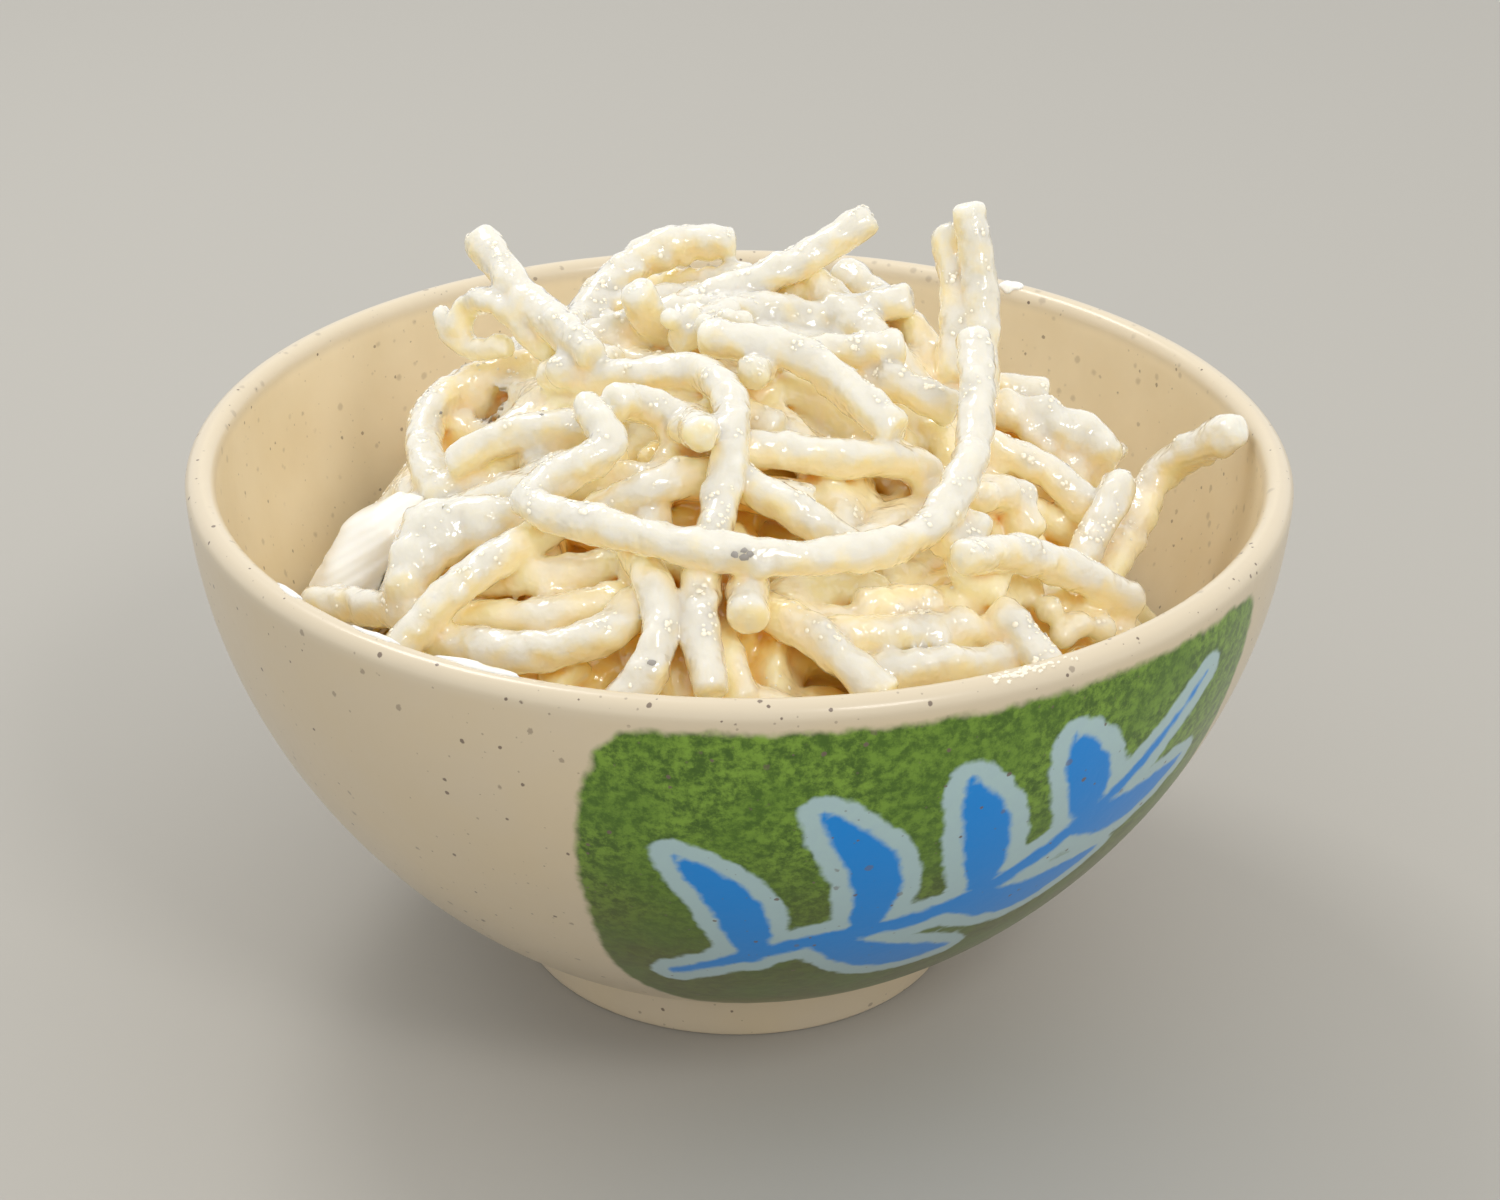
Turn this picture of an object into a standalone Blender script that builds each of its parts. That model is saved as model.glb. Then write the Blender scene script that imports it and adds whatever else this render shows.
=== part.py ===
"""A pasta salad in its stoneware bowl: thick noodles in a creamy dressing, heaped above the rim.

Metres, +Z up. The origin is the middle of the foot ring, on the table. Sizes below are in millimetres.
"""
import math
import random

import bmesh
import bpy
from mathutils import Vector, noise

MM = 0.001

# The bowl: a rice bowl on a foot ring
RIM_RADIUS = 63.5
RIM_HEIGHT = 65.0
WALL = 3.4                 # thickness at the lip
FOOT_RADIUS = 27.0         # outside of the foot ring where it stands
FOOT_TOP_RADIUS = 27.7
FOOT_HEIGHT = 6.2
FOOT_WALL = 3.4
FOOT_RECESS = 3.6          # how far the underside lies above the table
FLOOR_HEIGHT = 10.0        # inside bottom of the bowl
OUTER_FULLNESS = 0.8       # lower is rounder
INNER_FULLNESS = 0.4
FOOT_BEVEL = 0.5           # on the edges of the ring where it stands
OUTSIDE_STEPS = (0.006, 0.04, 0.1, 0.2, 0.34, 0.52, 0.76, 1.0)       # shares of the height, foot to lip
LIP_TURNS = (30, 65, 115, 150, 180)                                  # degrees over the round lip
INSIDE_STEPS = (0.76, 0.54, 0.36, 0.22, 0.1, 0.02, 0.002)            # shares of the height, lip to floor
BOWL_SIDES = 52

# The salad: a core that fills the bowl and rises to a dome, with noodles on it
GAP = 0.45                 # between the food and the curve of the bowl's inside
CORE_SIDES = 26
CORE_SIDE_STEPS = (0.02, 0.12, 0.32, 0.64)                           # shares of the height, along the wall
CORE_TOP_STEPS = (1.0, 0.88, 0.74, 0.58, 0.42, 0.26, 0.12)           # shares of the radius, over the dome
HEAP_CENTRE = (-4.0, 1.0)
HEAP_PEAK = 76.0
HEAP_EDGE_SIDE = 38.0      # where the core meets the wall, at the sides, front and back
HEAP_EDGE_FRONT = 49.0
HEAP_EDGE_BACK = 38.0
HEAP_REACH_X = 50.5
HEAP_REACH_FRONT = 56.0
HEAP_REACH_BACK = 51.0
HEAP_BUMPS = 1.6
NOODLE = 4.5               # usual thickness of a coated noodle
NOODLE_SIDES = 6
END_SHOULDER = (0.55, 0.72)    # on a rounded end: how far out its last ring is and how wide, in radii
END_TIP = 0.85                 # how far out its tip is, in radii
SHOWN_STEP = 4.8           # length of one tube segment
SPREAD_STEP = 6.0
SEED = 41

# The dressing that has run together in one lump at the left wall
DOLLOP_CENTRE = (-41.5, -15.0, 55.0)
DOLLOP_SIZE = (8.5, 11.0, 9.0)
DOLLOP_SIDES = 20
DOLLOP_RINGS = 11
DOLLOP_SWELL = 0.16
CUT_GAP = 0.4              # between the lump and what it lies against

# Noodles that lie on top, as thickness and the points they pass through, from one end to the other
SHOWN_NOODLES = {
    "long_arc": (4.5, ((-16, -22, 78), (-14, -27, 76), (-20, -29, 73), (-22, -32, 72), (-18, -36, 72),
                       (-6, -41, 71.5), (6, -41, 70), (18, -34, 69), (24, -25, 72), (26, -15, 76), (26, -7, 80))),
    "winding": (4.5, ((-21, -5, 75), (-12, -10, 77), (-5, -11, 78), (-1, -20, 78), (-2, -32, 72),
                      (-4, -43, 66.5), (-3, -51, 61))),
    "stick_left": (4.5, ((-30, 11, 84.5), (-24, 2, 81), (-17, -8, 79))),
    "claw_upper": (4.2, ((-32, 5, 77), (-29, 7, 78.5), (-25, 2, 77), (-20, -1, 75))),
    "claw_lower": (4.2, ((-35, 9, 77), (-33, 6, 74.5), (-26, 2, 74))),
    "arch_back": (4.6, ((-19, 12, 74), (-15, 19, 77.5), (-7, 23, 80.5), (0, 24, 79.5))),
    "knob_back": (4.6, ((-6, 12, 77), (5, 15, 80), (14, 18, 85))),
    "ridge_front": (4.6, ((-20, 5, 74), (-6, 9, 77), (10, 11, 75), (22, 6, 70))),
    "ridge_back": (4.6, ((-13, 25, 73), (0, 20, 76.5), (12, 15, 75), (20, 17, 71))),
    "cut_end": (4.6, ((-12, 4, 80), (-8, 1, 79.5), (1, 7, 76))),
    "diagonal": (4.8, ((-3, -6, 80), (7, -9, 79), (16, -17, 74.5))),
    "flat_end": (4.6, ((5, -2, 76), (17, -1, 77))),
    "short_right": (4.6, ((13, -1, 73), (18, -4, 73.5), (23, -6, 72))),
    "cut_short": (4.6, ((-15, -13, 74), (-9, -24, 78.5), (-5, -30, 79.5))),
    "loop_outer": (4.4, ((-25, 4, 71.5), (-32, 6, 70), (-37, 1, 66.5), (-36, -7, 65.5), (-33, -14, 64.5))),
    "loop_inner": (4.6, ((-17, -12, 72), (-24, -13, 71.5), (-31, -14, 68.5))),
    "loop_behind": (4.4, ((-33, 1, 66), (-30, 5, 65.5), (-24, 7, 68))),
    "bulge_left": (5.0, ((-35, -34, 63.5), (-34, -29, 67), (-29, -28, 68.5), (-22, -29, 68))),
    "sweep_left": (4.6, ((-20, -31, 68.5), (-28, -38, 66), (-35, -43, 60.5))),
    "by_dollop": (4.2, ((-46, -26, 57), (-34, -36, 60.5))),
    "front_left": (4.8, ((-31, -40, 59.5), (-22, -45, 61), (-14, -45, 63), (-11, -41, 64))),
    "front_left_low": (4.4, ((-30, -36, 60), (-21, -39, 62), (-13, -38, 63.5))),
    "front_left_deep": (4.4, ((-27, -33, 63), (-20, -34.5, 64.5), (-13, -33, 65.5))),
    "front_drop": (4.4, ((-11, -36, 68.5), (-8, -44, 66), (-9, -50, 62), (-12, -52, 59))),
    "front_twin": (4.4, ((-1, -34, 65), (-2, -43, 62), (0, -48, 58))),
    "front_stub": (4.8, ((1, -36, 67.5), (1, -45, 66))),
    "front_diagonal": (4.6, ((2, -39, 63.5), (8, -44, 62.5), (14, -49, 59))),
    "under_arc_left": (4.6, ((-4, -25, 72), (-9, -28, 72), (-15, -28, 69))),
    "under_arc_right": (4.6, ((0, -27, 72), (6, -31, 70.5), (12, -31, 66))),
    "level_right": (4.8, ((1, -22, 73.5), (13, -20.5, 72), (20, -17, 69), (22, -21, 65))),
    "slope_right_upper": (4.6, ((8, 17, 77.5), (17, 5, 75))),
    "slope_right_long": (4.6, ((13, 24, 75), (22, 12, 71.5), (27, 2, 67.5))),
    "stand_tall": (4.6, ((26.5, 13, 88), (28, 9, 79.5), (28, 2, 71))),
    "stand_back": (4.4, ((23.5, 16, 82.5), (25, 10, 75.5), (25, 5, 72))),
    "stub_right": (4.4, ((26, 9, 68), (35, 9, 67.5))),
    "lump_right_upper": (4.6, ((28, 4, 66.5), (36, 5, 65), (43, 3, 62))),
    "lump_right_lower": (4.6, ((29, 6, 62.5), (37, 7, 60), (43, 6, 59))),
    "curve_right": (4.6, ((27, -3, 66), (35, -5, 63.5), (41, -8, 59))),
    "low_right": (4.6, ((30, -6, 61), (39, -7, 56))),
    "blob_right": (5.0, ((26, -16, 65), (30, -14, 64.5), (32, -16, 62))),
    "upright_right": (4.6, ((43, -8, 63), (38, -17, 57))),
    "lean_right": (4.0, ((57.3, 3, 65), (51, 9, 57.5), (47, 3, 53), (41, -9, 48))),
    "end_right": (4.6, ((24, -36, 68), (31, -30, 65), (42.5, -25, 57.5))),
    "step_right": (4.6, ((22, -30, 67), (25, -27, 67), (24, -32, 64.5), (27, -32, 62.5))),
    "front_right_upper": (4.8, ((14, -36, 62), (23, -33, 60.5), (31, -27, 59.5))),
    "front_right_middle": (4.8, ((10, -42, 61.5), (20, -39, 60.5), (29, -34, 57))),
    "front_right_lower": (4.6, ((13, -45, 58.5), (22, -43, 58.5), (31, -38, 56))),
    "chunk_right": (6.0, ((32, -26, 57), (41, -26, 53.5))),
    "end_front_right": (4.4, ((28, -36, 61), (32, -42, 58.5))),
}

# Noodles over the rest of the heap, laid by rule from a seeded draw
SPREAD_PLACES = 54         # places in the whole round heap, of which the back ones get a noodle
SPREAD_REACH = 49.0
SPREAD_LENGTH = (20.0, 34.0)
SPREAD_BEND = 70.0         # most that one turns over its length, in degrees
SPREAD_LIFT = (0.8, 3.0)   # height of the middle line above the core
FRONT_LIMIT = 8.0          # in front of this line the heap has only the shown noodles
LOOSE_ENDS = 5             # every so many noodles, one end stands up from the heap
END_RISE = 7.0

GLAZED_CREAM = (0.55, 0.47, 0.36, 1.0)
NOODLE_CREAM = (0.84, 0.76, 0.55, 1.0)
DRESSING_WHITE = (0.86, 0.85, 0.80, 1.0)


def clear_scene():
    for item in list(bpy.data.objects):
        bpy.data.objects.remove(item, do_unlink=True)


def finish(name, colour, roughness):
    material = bpy.data.materials.new(name)
    material.use_nodes = True
    shader = material.node_tree.nodes["Principled BSDF"]
    shader.inputs["Base Color"].default_value = colour
    shader.inputs["Roughness"].default_value = roughness
    shader.inputs["Metallic"].default_value = 0.0
    material.diffuse_color = colour
    return material


def add_object(name, verts, faces, material):
    """Make one object from millimetre points, with its faces turned outwards."""
    mesh = bpy.data.meshes.new(name)
    mesh.from_pydata([(x * MM, y * MM, z * MM) for x, y, z in verts], [], faces)
    build = bmesh.new()
    build.from_mesh(mesh)
    bmesh.ops.recalc_face_normals(build, faces=build.faces)
    build.to_mesh(mesh)
    build.free()
    mesh.materials.append(material)
    mesh.shade_smooth()
    item = bpy.data.objects.new(name, mesh)
    bpy.context.scene.collection.objects.link(item)
    return item


def swelling(share, fullness):
    """Share of the full radius that a bowl has at a share of its height."""
    return (1 - (1 - share) ** 2) ** fullness


def outer_radius(z):
    share = (z - FOOT_HEIGHT) / (RIM_HEIGHT - FOOT_HEIGHT)
    return FOOT_TOP_RADIUS + (RIM_RADIUS - FOOT_TOP_RADIUS) * swelling(share, OUTER_FULLNESS)


def inner_radius(z):
    share = min(max((z - FLOOR_HEIGHT) / (RIM_HEIGHT - FLOOR_HEIGHT), 0), 1)
    return (RIM_RADIUS - WALL) * swelling(share, INNER_FULLNESS)


def bowl_profile():
    """Radius and height from the axis underneath, up the outside, over the lip and down to the axis inside."""
    foot_inside = FOOT_RADIUS - FOOT_WALL
    fillet = 2 * FOOT_BEVEL
    points = [(0, FOOT_RECESS), (foot_inside - fillet, FOOT_RECESS), (foot_inside, FOOT_RECESS - fillet)]
    points += [(foot_inside, FOOT_BEVEL), (foot_inside + FOOT_BEVEL, 0)]
    points += [(FOOT_RADIUS - FOOT_BEVEL, 0), (FOOT_RADIUS, FOOT_BEVEL), (FOOT_TOP_RADIUS, FOOT_HEIGHT)]
    lip = WALL / 2
    lip_height = RIM_HEIGHT - lip
    for step in OUTSIDE_STEPS:
        z = FOOT_HEIGHT + step * (lip_height - FOOT_HEIGHT)
        points.append((outer_radius(z), z))
    for turn in LIP_TURNS:
        angle = math.radians(turn)
        points.append((RIM_RADIUS - lip + lip * math.cos(angle), lip_height + lip * math.sin(angle)))
    for step in INSIDE_STEPS:
        z = FLOOR_HEIGHT + step * (lip_height - FLOOR_HEIGHT)
        points.append((inner_radius(z), z))
    points.append((0, FLOOR_HEIGHT))
    return points


def turned(name, profile, sides, material):
    """A solid of revolution whose profile starts and ends on the axis."""
    verts = [(0, 0, profile[0][1]), (0, 0, profile[-1][1])]
    rings = []
    for radius, z in profile[1:-1]:
        rings.append(len(verts))
        for side in range(sides):
            angle = 2 * math.pi * side / sides
            verts.append((radius * math.cos(angle), radius * math.sin(angle), z))
    faces = join_rings(rings, sides, 0, 1)
    return add_object(name, verts, faces, material)


def join_rings(rings, sides, first_pole, last_pole):
    faces = []
    for side in range(sides):
        after = (side + 1) % sides
        faces.append((first_pole, rings[0] + after, rings[0] + side))
        faces.append((last_pole, rings[-1] + side, rings[-1] + after))
        for low, high in zip(rings, rings[1:]):
            faces.append((low + side, low + after, high + after, high + side))
    return faces


def core_height(x, y):
    """Top of the core at a place, falling from the peak to the edge heights at the wall."""
    dx = x - HEAP_CENTRE[0]
    dy = y - HEAP_CENTRE[1]
    reach_y = HEAP_REACH_FRONT if dy < 0 else HEAP_REACH_BACK
    edge_there = HEAP_EDGE_FRONT if dy < 0 else HEAP_EDGE_BACK
    distance = math.hypot(dx, dy)
    along_y = (dy / distance) ** 2 if distance > 0.01 else 0
    edge = HEAP_EDGE_SIDE + (edge_there - HEAP_EDGE_SIDE) * along_y
    share = min(1, math.hypot(dx / HEAP_REACH_X, dy / reach_y))
    return edge + (HEAP_PEAK - edge) * (1 - share ** 2) ** 0.8


def wall_radius(z):
    return inner_radius(z) - GAP


def core_edge(angle):
    """Radius at which the top of the core comes down to the wall of the bowl."""
    radius = 20.0
    while radius < wall_radius(core_height(radius * math.cos(angle), radius * math.sin(angle))):
        radius += 0.1
    return radius - 0.1


def make_core(name, material, grown=0.0):
    """The body of packed noodles under the ones that show; grown is for cutting its neighbours."""
    floor = FLOOR_HEIGHT + GAP
    raised = 2 * grown         # the sides are steep, so the top goes up by more than the gap
    verts = [(0, 0, floor), (0, 0, core_height(0, 0) + raised)]
    rings = []
    angles = [2 * math.pi * side / CORE_SIDES for side in range(CORE_SIDES)]
    edges = [core_edge(angle) for angle in angles]
    edge_heights = [core_height(r * math.cos(a), r * math.sin(a)) for r, a in zip(edges, angles)]
    for step in CORE_SIDE_STEPS:
        rings.append(len(verts))
        for angle, height in zip(angles, edge_heights):
            z = floor + step * (height - floor)
            radius = wall_radius(z - GAP)
            verts.append((radius * math.cos(angle), radius * math.sin(angle), z))
    for step in CORE_TOP_STEPS:
        rings.append(len(verts))
        for angle, edge in zip(angles, edges):
            x = edge * step * math.cos(angle)
            y = edge * step * math.sin(angle)
            bump = HEAP_BUMPS * noise.noise(Vector((x, y, SEED)) / 7) if step < 1 else 0
            verts.append((x, y, core_height(x, y) + bump + raised))
    return add_object(name, verts, join_rings(rings, CORE_SIDES, 0, 1), material)


def smooth_route(points, step):
    """Points at even steps on a smooth curve through the given ones."""
    points = [Vector(p) for p in points]
    ends = [points[0] * 2 - points[1]] + points + [points[-1] * 2 - points[-2]]
    fine = []
    for a, b, c, d in zip(ends, ends[1:], ends[2:], ends[3:]):
        for i in range(12):
            t = i / 12
            fine.append(0.5 * (2 * b + (c - a) * t + (2 * a - 5 * b + 4 * c - d) * t * t
                               + (3 * b - a - 3 * c + d) * t ** 3))
    fine.append(points[-1])
    length = sum((q - p).length for p, q in zip(fine, fine[1:]))
    count = max(2, round(length / step))
    route = [fine[0]]
    walked = 0
    for p, q in zip(fine, fine[1:]):
        walked += (q - p).length
        while len(route) < count and walked >= length * len(route) / count:
            route.append(q)
    return route + [fine[-1]]


def make_tube(name, points, thickness, step, material):
    """A round tube along a route, with rounded ends, as one closed body."""
    route = smooth_route(points, step)
    radius = thickness / 2
    verts = []
    rings = []
    side_way = Vector((0, 0, 1)).cross(route[1] - route[0])
    if side_way.length < 0.01:
        side_way = Vector((1, 0, 0))
    out, narrowing = END_SHOULDER
    last = len(route) - 1
    for index, place in enumerate(route):
        along = (route[min(index + 1, last)] - route[max(index - 1, 0)]).normalized()
        side_way = (side_way - along * side_way.dot(along)).normalized()
        up_way = along.cross(side_way)
        if index == 0:
            rows = [(-out * radius, narrowing), (0, 1)]
        elif index == last:
            rows = [(0, 1), (out * radius, narrowing)]
        else:
            rows = [(0, 1)]
        for shift, share in rows:
            rings.append(len(verts))
            for side in range(NOODLE_SIDES):
                angle = 2 * math.pi * side / NOODLE_SIDES
                spoke = side_way * math.cos(angle) + up_way * math.sin(angle)
                verts.append(place + along * shift + spoke * radius * share)
    start = route[0] + (route[0] - route[1]).normalized() * radius * END_TIP
    end = route[-1] + (route[-1] - route[-2]).normalized() * radius * END_TIP
    verts += [start, end]
    faces = join_rings(rings, NOODLE_SIDES, len(verts) - 2, len(verts) - 1)
    return add_object(name, verts, faces, material)


def inside_bowl(point, radius):
    """The point, moved in from the wall where a noodle of that radius would cut it."""
    room = wall_radius(point.z) - radius - 0.3 if point.z < RIM_HEIGHT + radius else RIM_RADIUS
    reach = math.hypot(point.x, point.y)
    if reach <= room:
        return point
    return Vector((point.x * room / reach, point.y * room / reach, point.z))


def spread_noodles():
    """Routes of the noodles behind and beside the shown ones, spread evenly by turning a fixed angle."""
    draw = random.Random(SEED)
    golden = math.pi * (3 - math.sqrt(5))
    routes = []
    for place in range(SPREAD_PLACES):
        reach = SPREAD_REACH * math.sqrt((place + 0.5) / SPREAD_PLACES)
        x = HEAP_CENTRE[0] + reach * math.cos(place * golden)
        y = HEAP_CENTRE[1] + reach * math.sin(place * golden)
        heading = draw.uniform(0, math.pi)
        length = draw.uniform(*SPREAD_LENGTH)
        bend = math.radians(draw.uniform(-SPREAD_BEND, SPREAD_BEND))
        lift = draw.uniform(*SPREAD_LIFT)
        thickness = draw.uniform(0.9, 1.06) * NOODLE
        if y < FRONT_LIMIT:
            continue
        standing = len(routes) % LOOSE_ENDS == 0
        points = []
        for part in (-0.5, -0.17, 0.17, 0.5):
            way = heading + bend * part
            px = x + part * length * math.cos(way)
            py = y + part * length * math.sin(way)
            rise = END_RISE if standing and part == 0.5 else 0
            z = core_height(px, py) + lift + rise
            points.append(inside_bowl(Vector((px, py, z)), thickness / 2))
        routes.append((thickness, points))
    return routes


def keep_largest_body(item):
    """Drop loose scraps and the walls of sealed hollows, which are separate pieces of the mesh."""
    build = bmesh.new()
    build.from_mesh(item.data)
    left = set(build.verts)
    bodies = []
    while left:
        stack = [left.pop()]
        body = set(stack)
        while stack:
            for edge in stack.pop().link_edges:
                for vert in edge.verts:
                    if vert in left:
                        left.discard(vert)
                        body.add(vert)
                        stack.append(vert)
        bodies.append(body)
    bodies.sort(key=len)
    for body in bodies[:-1]:
        bmesh.ops.delete(build, geom=list(body), context='VERTS')
    build.to_mesh(item.data)
    build.free()


def combine(item, others, operation):
    """Join others to the item, or cut them from it, apply that and remove them."""
    group = bpy.data.collections.new("pieces")
    bpy.context.scene.collection.children.link(group)
    for other in others:
        bpy.context.scene.collection.objects.unlink(other)
        group.objects.link(other)
    step = item.modifiers.new("combine", 'BOOLEAN')
    step.operation = operation
    step.operand_type = 'COLLECTION'
    step.collection = group
    step.solver = 'EXACT'
    bpy.context.view_layer.update()
    evaluated = item.evaluated_get(bpy.context.evaluated_depsgraph_get())
    result = bpy.data.meshes.new_from_object(evaluated)
    item.modifiers.clear()
    item.data = result
    for other in others:
        bpy.data.objects.remove(other, do_unlink=True)
    bpy.data.collections.remove(group)
    keep_largest_body(item)
    bpy.context.view_layer.update()


def make_noodles(material, grown=0.0):
    tubes = []
    for name, (thickness, points) in SHOWN_NOODLES.items():
        tubes.append(make_tube(name, points, thickness + 2 * grown, SHOWN_STEP, material))
    for index, (thickness, points) in enumerate(spread_noodles()):
        tubes.append(make_tube(f"spread_{index:02d}", points, thickness + 2 * grown, SPREAD_STEP, material))
    return tubes


def make_heap():
    cream = finish("coated_noodle", NOODLE_CREAM, 0.3)
    heap = make_core("pasta_heap", cream)
    combine(heap, make_noodles(cream), 'UNION')


def make_dollop():
    """A soft lump against the wall, cut away where it meets the noodles and the core."""
    white = finish("thick_dressing", DRESSING_WHITE, 0.25)
    centre = Vector(DOLLOP_CENTRE)
    verts = [centre - Vector((0, 0, DOLLOP_SIZE[2])), centre + Vector((0, 0, DOLLOP_SIZE[2]))]
    rings = []
    for ring in range(1, DOLLOP_RINGS):
        rings.append(len(verts))
        tip = math.pi * ring / DOLLOP_RINGS
        for side in range(DOLLOP_SIDES):
            angle = 2 * math.pi * side / DOLLOP_SIDES
            way = Vector((math.sin(tip) * math.cos(angle), math.sin(tip) * math.sin(angle), -math.cos(tip)))
            swell = 1 + DOLLOP_SWELL * noise.noise(way * 1.6 + Vector((SEED, 0, 0)))
            verts.append(inside_bowl(centre + Vector(DOLLOP_SIZE) * swell * way, 0.0))
    dollop = add_object("dressing_dollop", verts, join_rings(rings, DOLLOP_SIDES, 0, 1), white)
    cutters = [make_core("core_cutter", white, CUT_GAP)] + make_noodles(white, CUT_GAP)
    combine(dollop, cutters, 'DIFFERENCE')


clear_scene()
turned("bowl", bowl_profile(), BOWL_SIDES, finish("glazed_stoneware", GLAZED_CREAM, 0.28))
make_heap()
make_dollop()
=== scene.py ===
"""A pasta salad in its stoneware bowl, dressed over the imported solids. Metres, +Z up."""
import math
import random

import bpy
import numpy as np
from mathutils import Matrix, Vector, noise
from mathutils.bvhtree import BVHTree


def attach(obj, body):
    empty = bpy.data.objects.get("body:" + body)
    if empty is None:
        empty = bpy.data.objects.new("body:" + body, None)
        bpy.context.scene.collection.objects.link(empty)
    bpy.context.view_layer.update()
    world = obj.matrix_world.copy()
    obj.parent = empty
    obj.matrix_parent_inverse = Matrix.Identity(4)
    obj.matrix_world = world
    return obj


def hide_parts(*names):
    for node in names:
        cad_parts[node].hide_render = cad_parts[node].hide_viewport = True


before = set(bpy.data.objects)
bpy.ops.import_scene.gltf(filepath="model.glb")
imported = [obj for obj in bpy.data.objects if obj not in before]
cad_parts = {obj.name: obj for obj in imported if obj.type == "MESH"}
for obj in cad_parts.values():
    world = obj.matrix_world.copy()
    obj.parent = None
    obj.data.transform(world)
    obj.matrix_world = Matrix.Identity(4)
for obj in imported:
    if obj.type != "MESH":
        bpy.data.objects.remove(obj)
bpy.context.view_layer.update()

MM = 0.001

# The floor and the light: a plain pale matt floor in an even, bright room, with two large soft lamps of
# about the same power, one in front of the bowl and one behind it. They are the studio, not the part.


def colour(code):
    """A linear colour from an sRGB hex code."""
    shares = [int(code[i:i + 2], 16) / 255 for i in (1, 3, 5)]
    return [s / 12.92 if s <= 0.04045 else ((s + 0.055) / 1.055) ** 2.4 for s in shares] + [1.0]


def fill_inputs(node, inputs):
    """Fill a node's inputs, by name or in order, each with a value, a hex colour, another node's output, or
    another node, which stands for its first output."""
    for name, value in inputs.items() if isinstance(inputs, dict) else enumerate(inputs):
        if isinstance(value, bpy.types.Node):
            value = value.outputs[0]
        if isinstance(value, bpy.types.NodeSocket):
            node.id_data.links.new(value, node.inputs[name])
        else:
            node.inputs[name].default_value = colour(value) if isinstance(value, str) else value


def add_node(tree, kind, inputs=(), **settings):
    """Add a node with its settings and links."""
    node = tree.nodes.new("ShaderNode" + kind)
    for name, value in settings.items():
        setattr(node, name, value)
    fill_inputs(node, inputs)
    return node


def new_material(name, finish=()):
    material = bpy.data.materials.new(name)
    material.use_nodes = True
    fill_inputs(material.node_tree.nodes["Principled BSDF"], finish)
    return material


def add_object(name, data):
    item = bpy.data.objects.new(name, data)
    bpy.context.scene.collection.objects.link(item)
    return item


def object_from_mesh(name, mesh, material):
    mesh.materials.append(material)
    mesh.shade_smooth()
    return add_object(name, mesh)


# Painted board, rolled on matt: no gloss, so that the eye sees only the bowl's soft shadow on it.
FLOOR_HALF = 1.5  # metres
PALE_GREY = "#a9a6a0"
table_paint = new_material("matt_painted_board", {"Base Color": PALE_GREY, "Roughness": 0.7})
mesh = bpy.data.meshes.new("table")
mesh.from_pydata([(x * FLOOR_HALF, y * FLOOR_HALF, 0) for x, y in ((-1, -1), (1, -1), (1, 1), (-1, 1))],
                 [], [(0, 1, 2, 3)])
object_from_mesh("table", mesh, table_paint)

ROOM_LIGHT = 1.13
ROOM_TINT = "#f4f4f2"
world = bpy.data.worlds.new("room")
bpy.context.scene.world = world
world.use_nodes = True
fill_inputs(world.node_tree.nodes["Background"], {"Color": ROOM_TINT, "Strength": ROOM_LIGHT})
LAMP_AIM = Vector((0, 0, 0.06))
LAMP_TINT = "#fffdf9"
# each lamp's place and width in metres, and its power in watts
LAMPS = {"lamp_front": ((0.26, -0.42, 0.54), 0.155, 1.08), "lamp_back": ((-0.20, 0.30, 0.58), 0.175, 1.1)}
for name, (place, size, power) in LAMPS.items():
    lamp = bpy.data.lights.new(name, 'AREA')
    lamp.size, lamp.energy, lamp.color = size, power, colour(LAMP_TINT)[:3]
    item = add_object(name, lamp)
    item.location = place
    item.rotation_euler = (LAMP_AIM - Vector(place)).to_track_quat('-Z', 'Y').to_euler()

# The photograph's view, from in front and above, close enough that the bowl fills the picture.
LENS = 69.6  # mm
SENSOR = 36  # mm wide
CAMERA_PLACE = (0.0, -0.3071, 0.2028)
LOOK_DOWN = 27.346  # degrees
LOOK_RIGHT = 0.247  # degrees
ROLL = 0.56  # degrees
camera = bpy.data.cameras.new("camera")
camera.lens = LENS
camera.sensor_width = SENSOR
camera.clip_start = 0.01
item = add_object("camera", camera)
view = Matrix.Translation(CAMERA_PLACE)
for degrees, axis in ((-LOOK_RIGHT, 'Z'), (90 - LOOK_DOWN, 'X'), (ROLL, 'Z')):
    view = view @ Matrix.Rotation(math.radians(degrees), 4, axis)
item.matrix_world = view
bpy.context.scene.camera = item
bpy.context.scene.view_settings.view_transform = 'Standard'

# The bowl: thrown stoneware on a turned foot ring, about 3.4 mm thick at the lip. Its cream glaze is
# thinner on the lip and has small iron specks. A green panel is sponged on one side, with a sprig brushed
# on it in blue under the glaze. Sizes are in mm.
RIM_RADIUS = 63.5
RIM_HEIGHT = 65.0
WALL = 3.4
FOOT_RADIUS = 27.0
FOOT_TOP_RADIUS = 27.7
FOOT_HEIGHT = 6.2
FOOT_WALL = 3.4
FOOT_RECESS = 3.6
FLOOR_HEIGHT = 10.0
OUTER_FULLNESS = 0.8
INNER_FULLNESS = 0.4
BOWL_SIDES = 360
LIP_HEIGHT = RIM_HEIGHT - WALL / 2
# the rings of the profile: how many on each part, how they crowd towards the foot, where the curve is
# tightest, and the steps between those on the flat
FOOT_RINGS, OUTER_RINGS, LIP_RINGS, INNER_RINGS = 6, 80, 16, 50
OUTER_CROWDING, INNER_CROWDING = 1.5, 1.8
RECESS_STEP, FLOOR_STEP = 6.0, 4.0
RECESS_FILLET, FOOT_FILLET, FILLET_STEPS = 1.2, 0.6, 4


def swelling(share, fullness):
    """Share of the full radius that a bowl has at a share of its height."""
    return (1 - (1 - share) ** 2) ** fullness


def outer_radius(z):
    share = (z - FOOT_HEIGHT) / (RIM_HEIGHT - FOOT_HEIGHT)
    return FOOT_TOP_RADIUS + (RIM_RADIUS - FOOT_TOP_RADIUS) * swelling(share, OUTER_FULLNESS)


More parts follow.
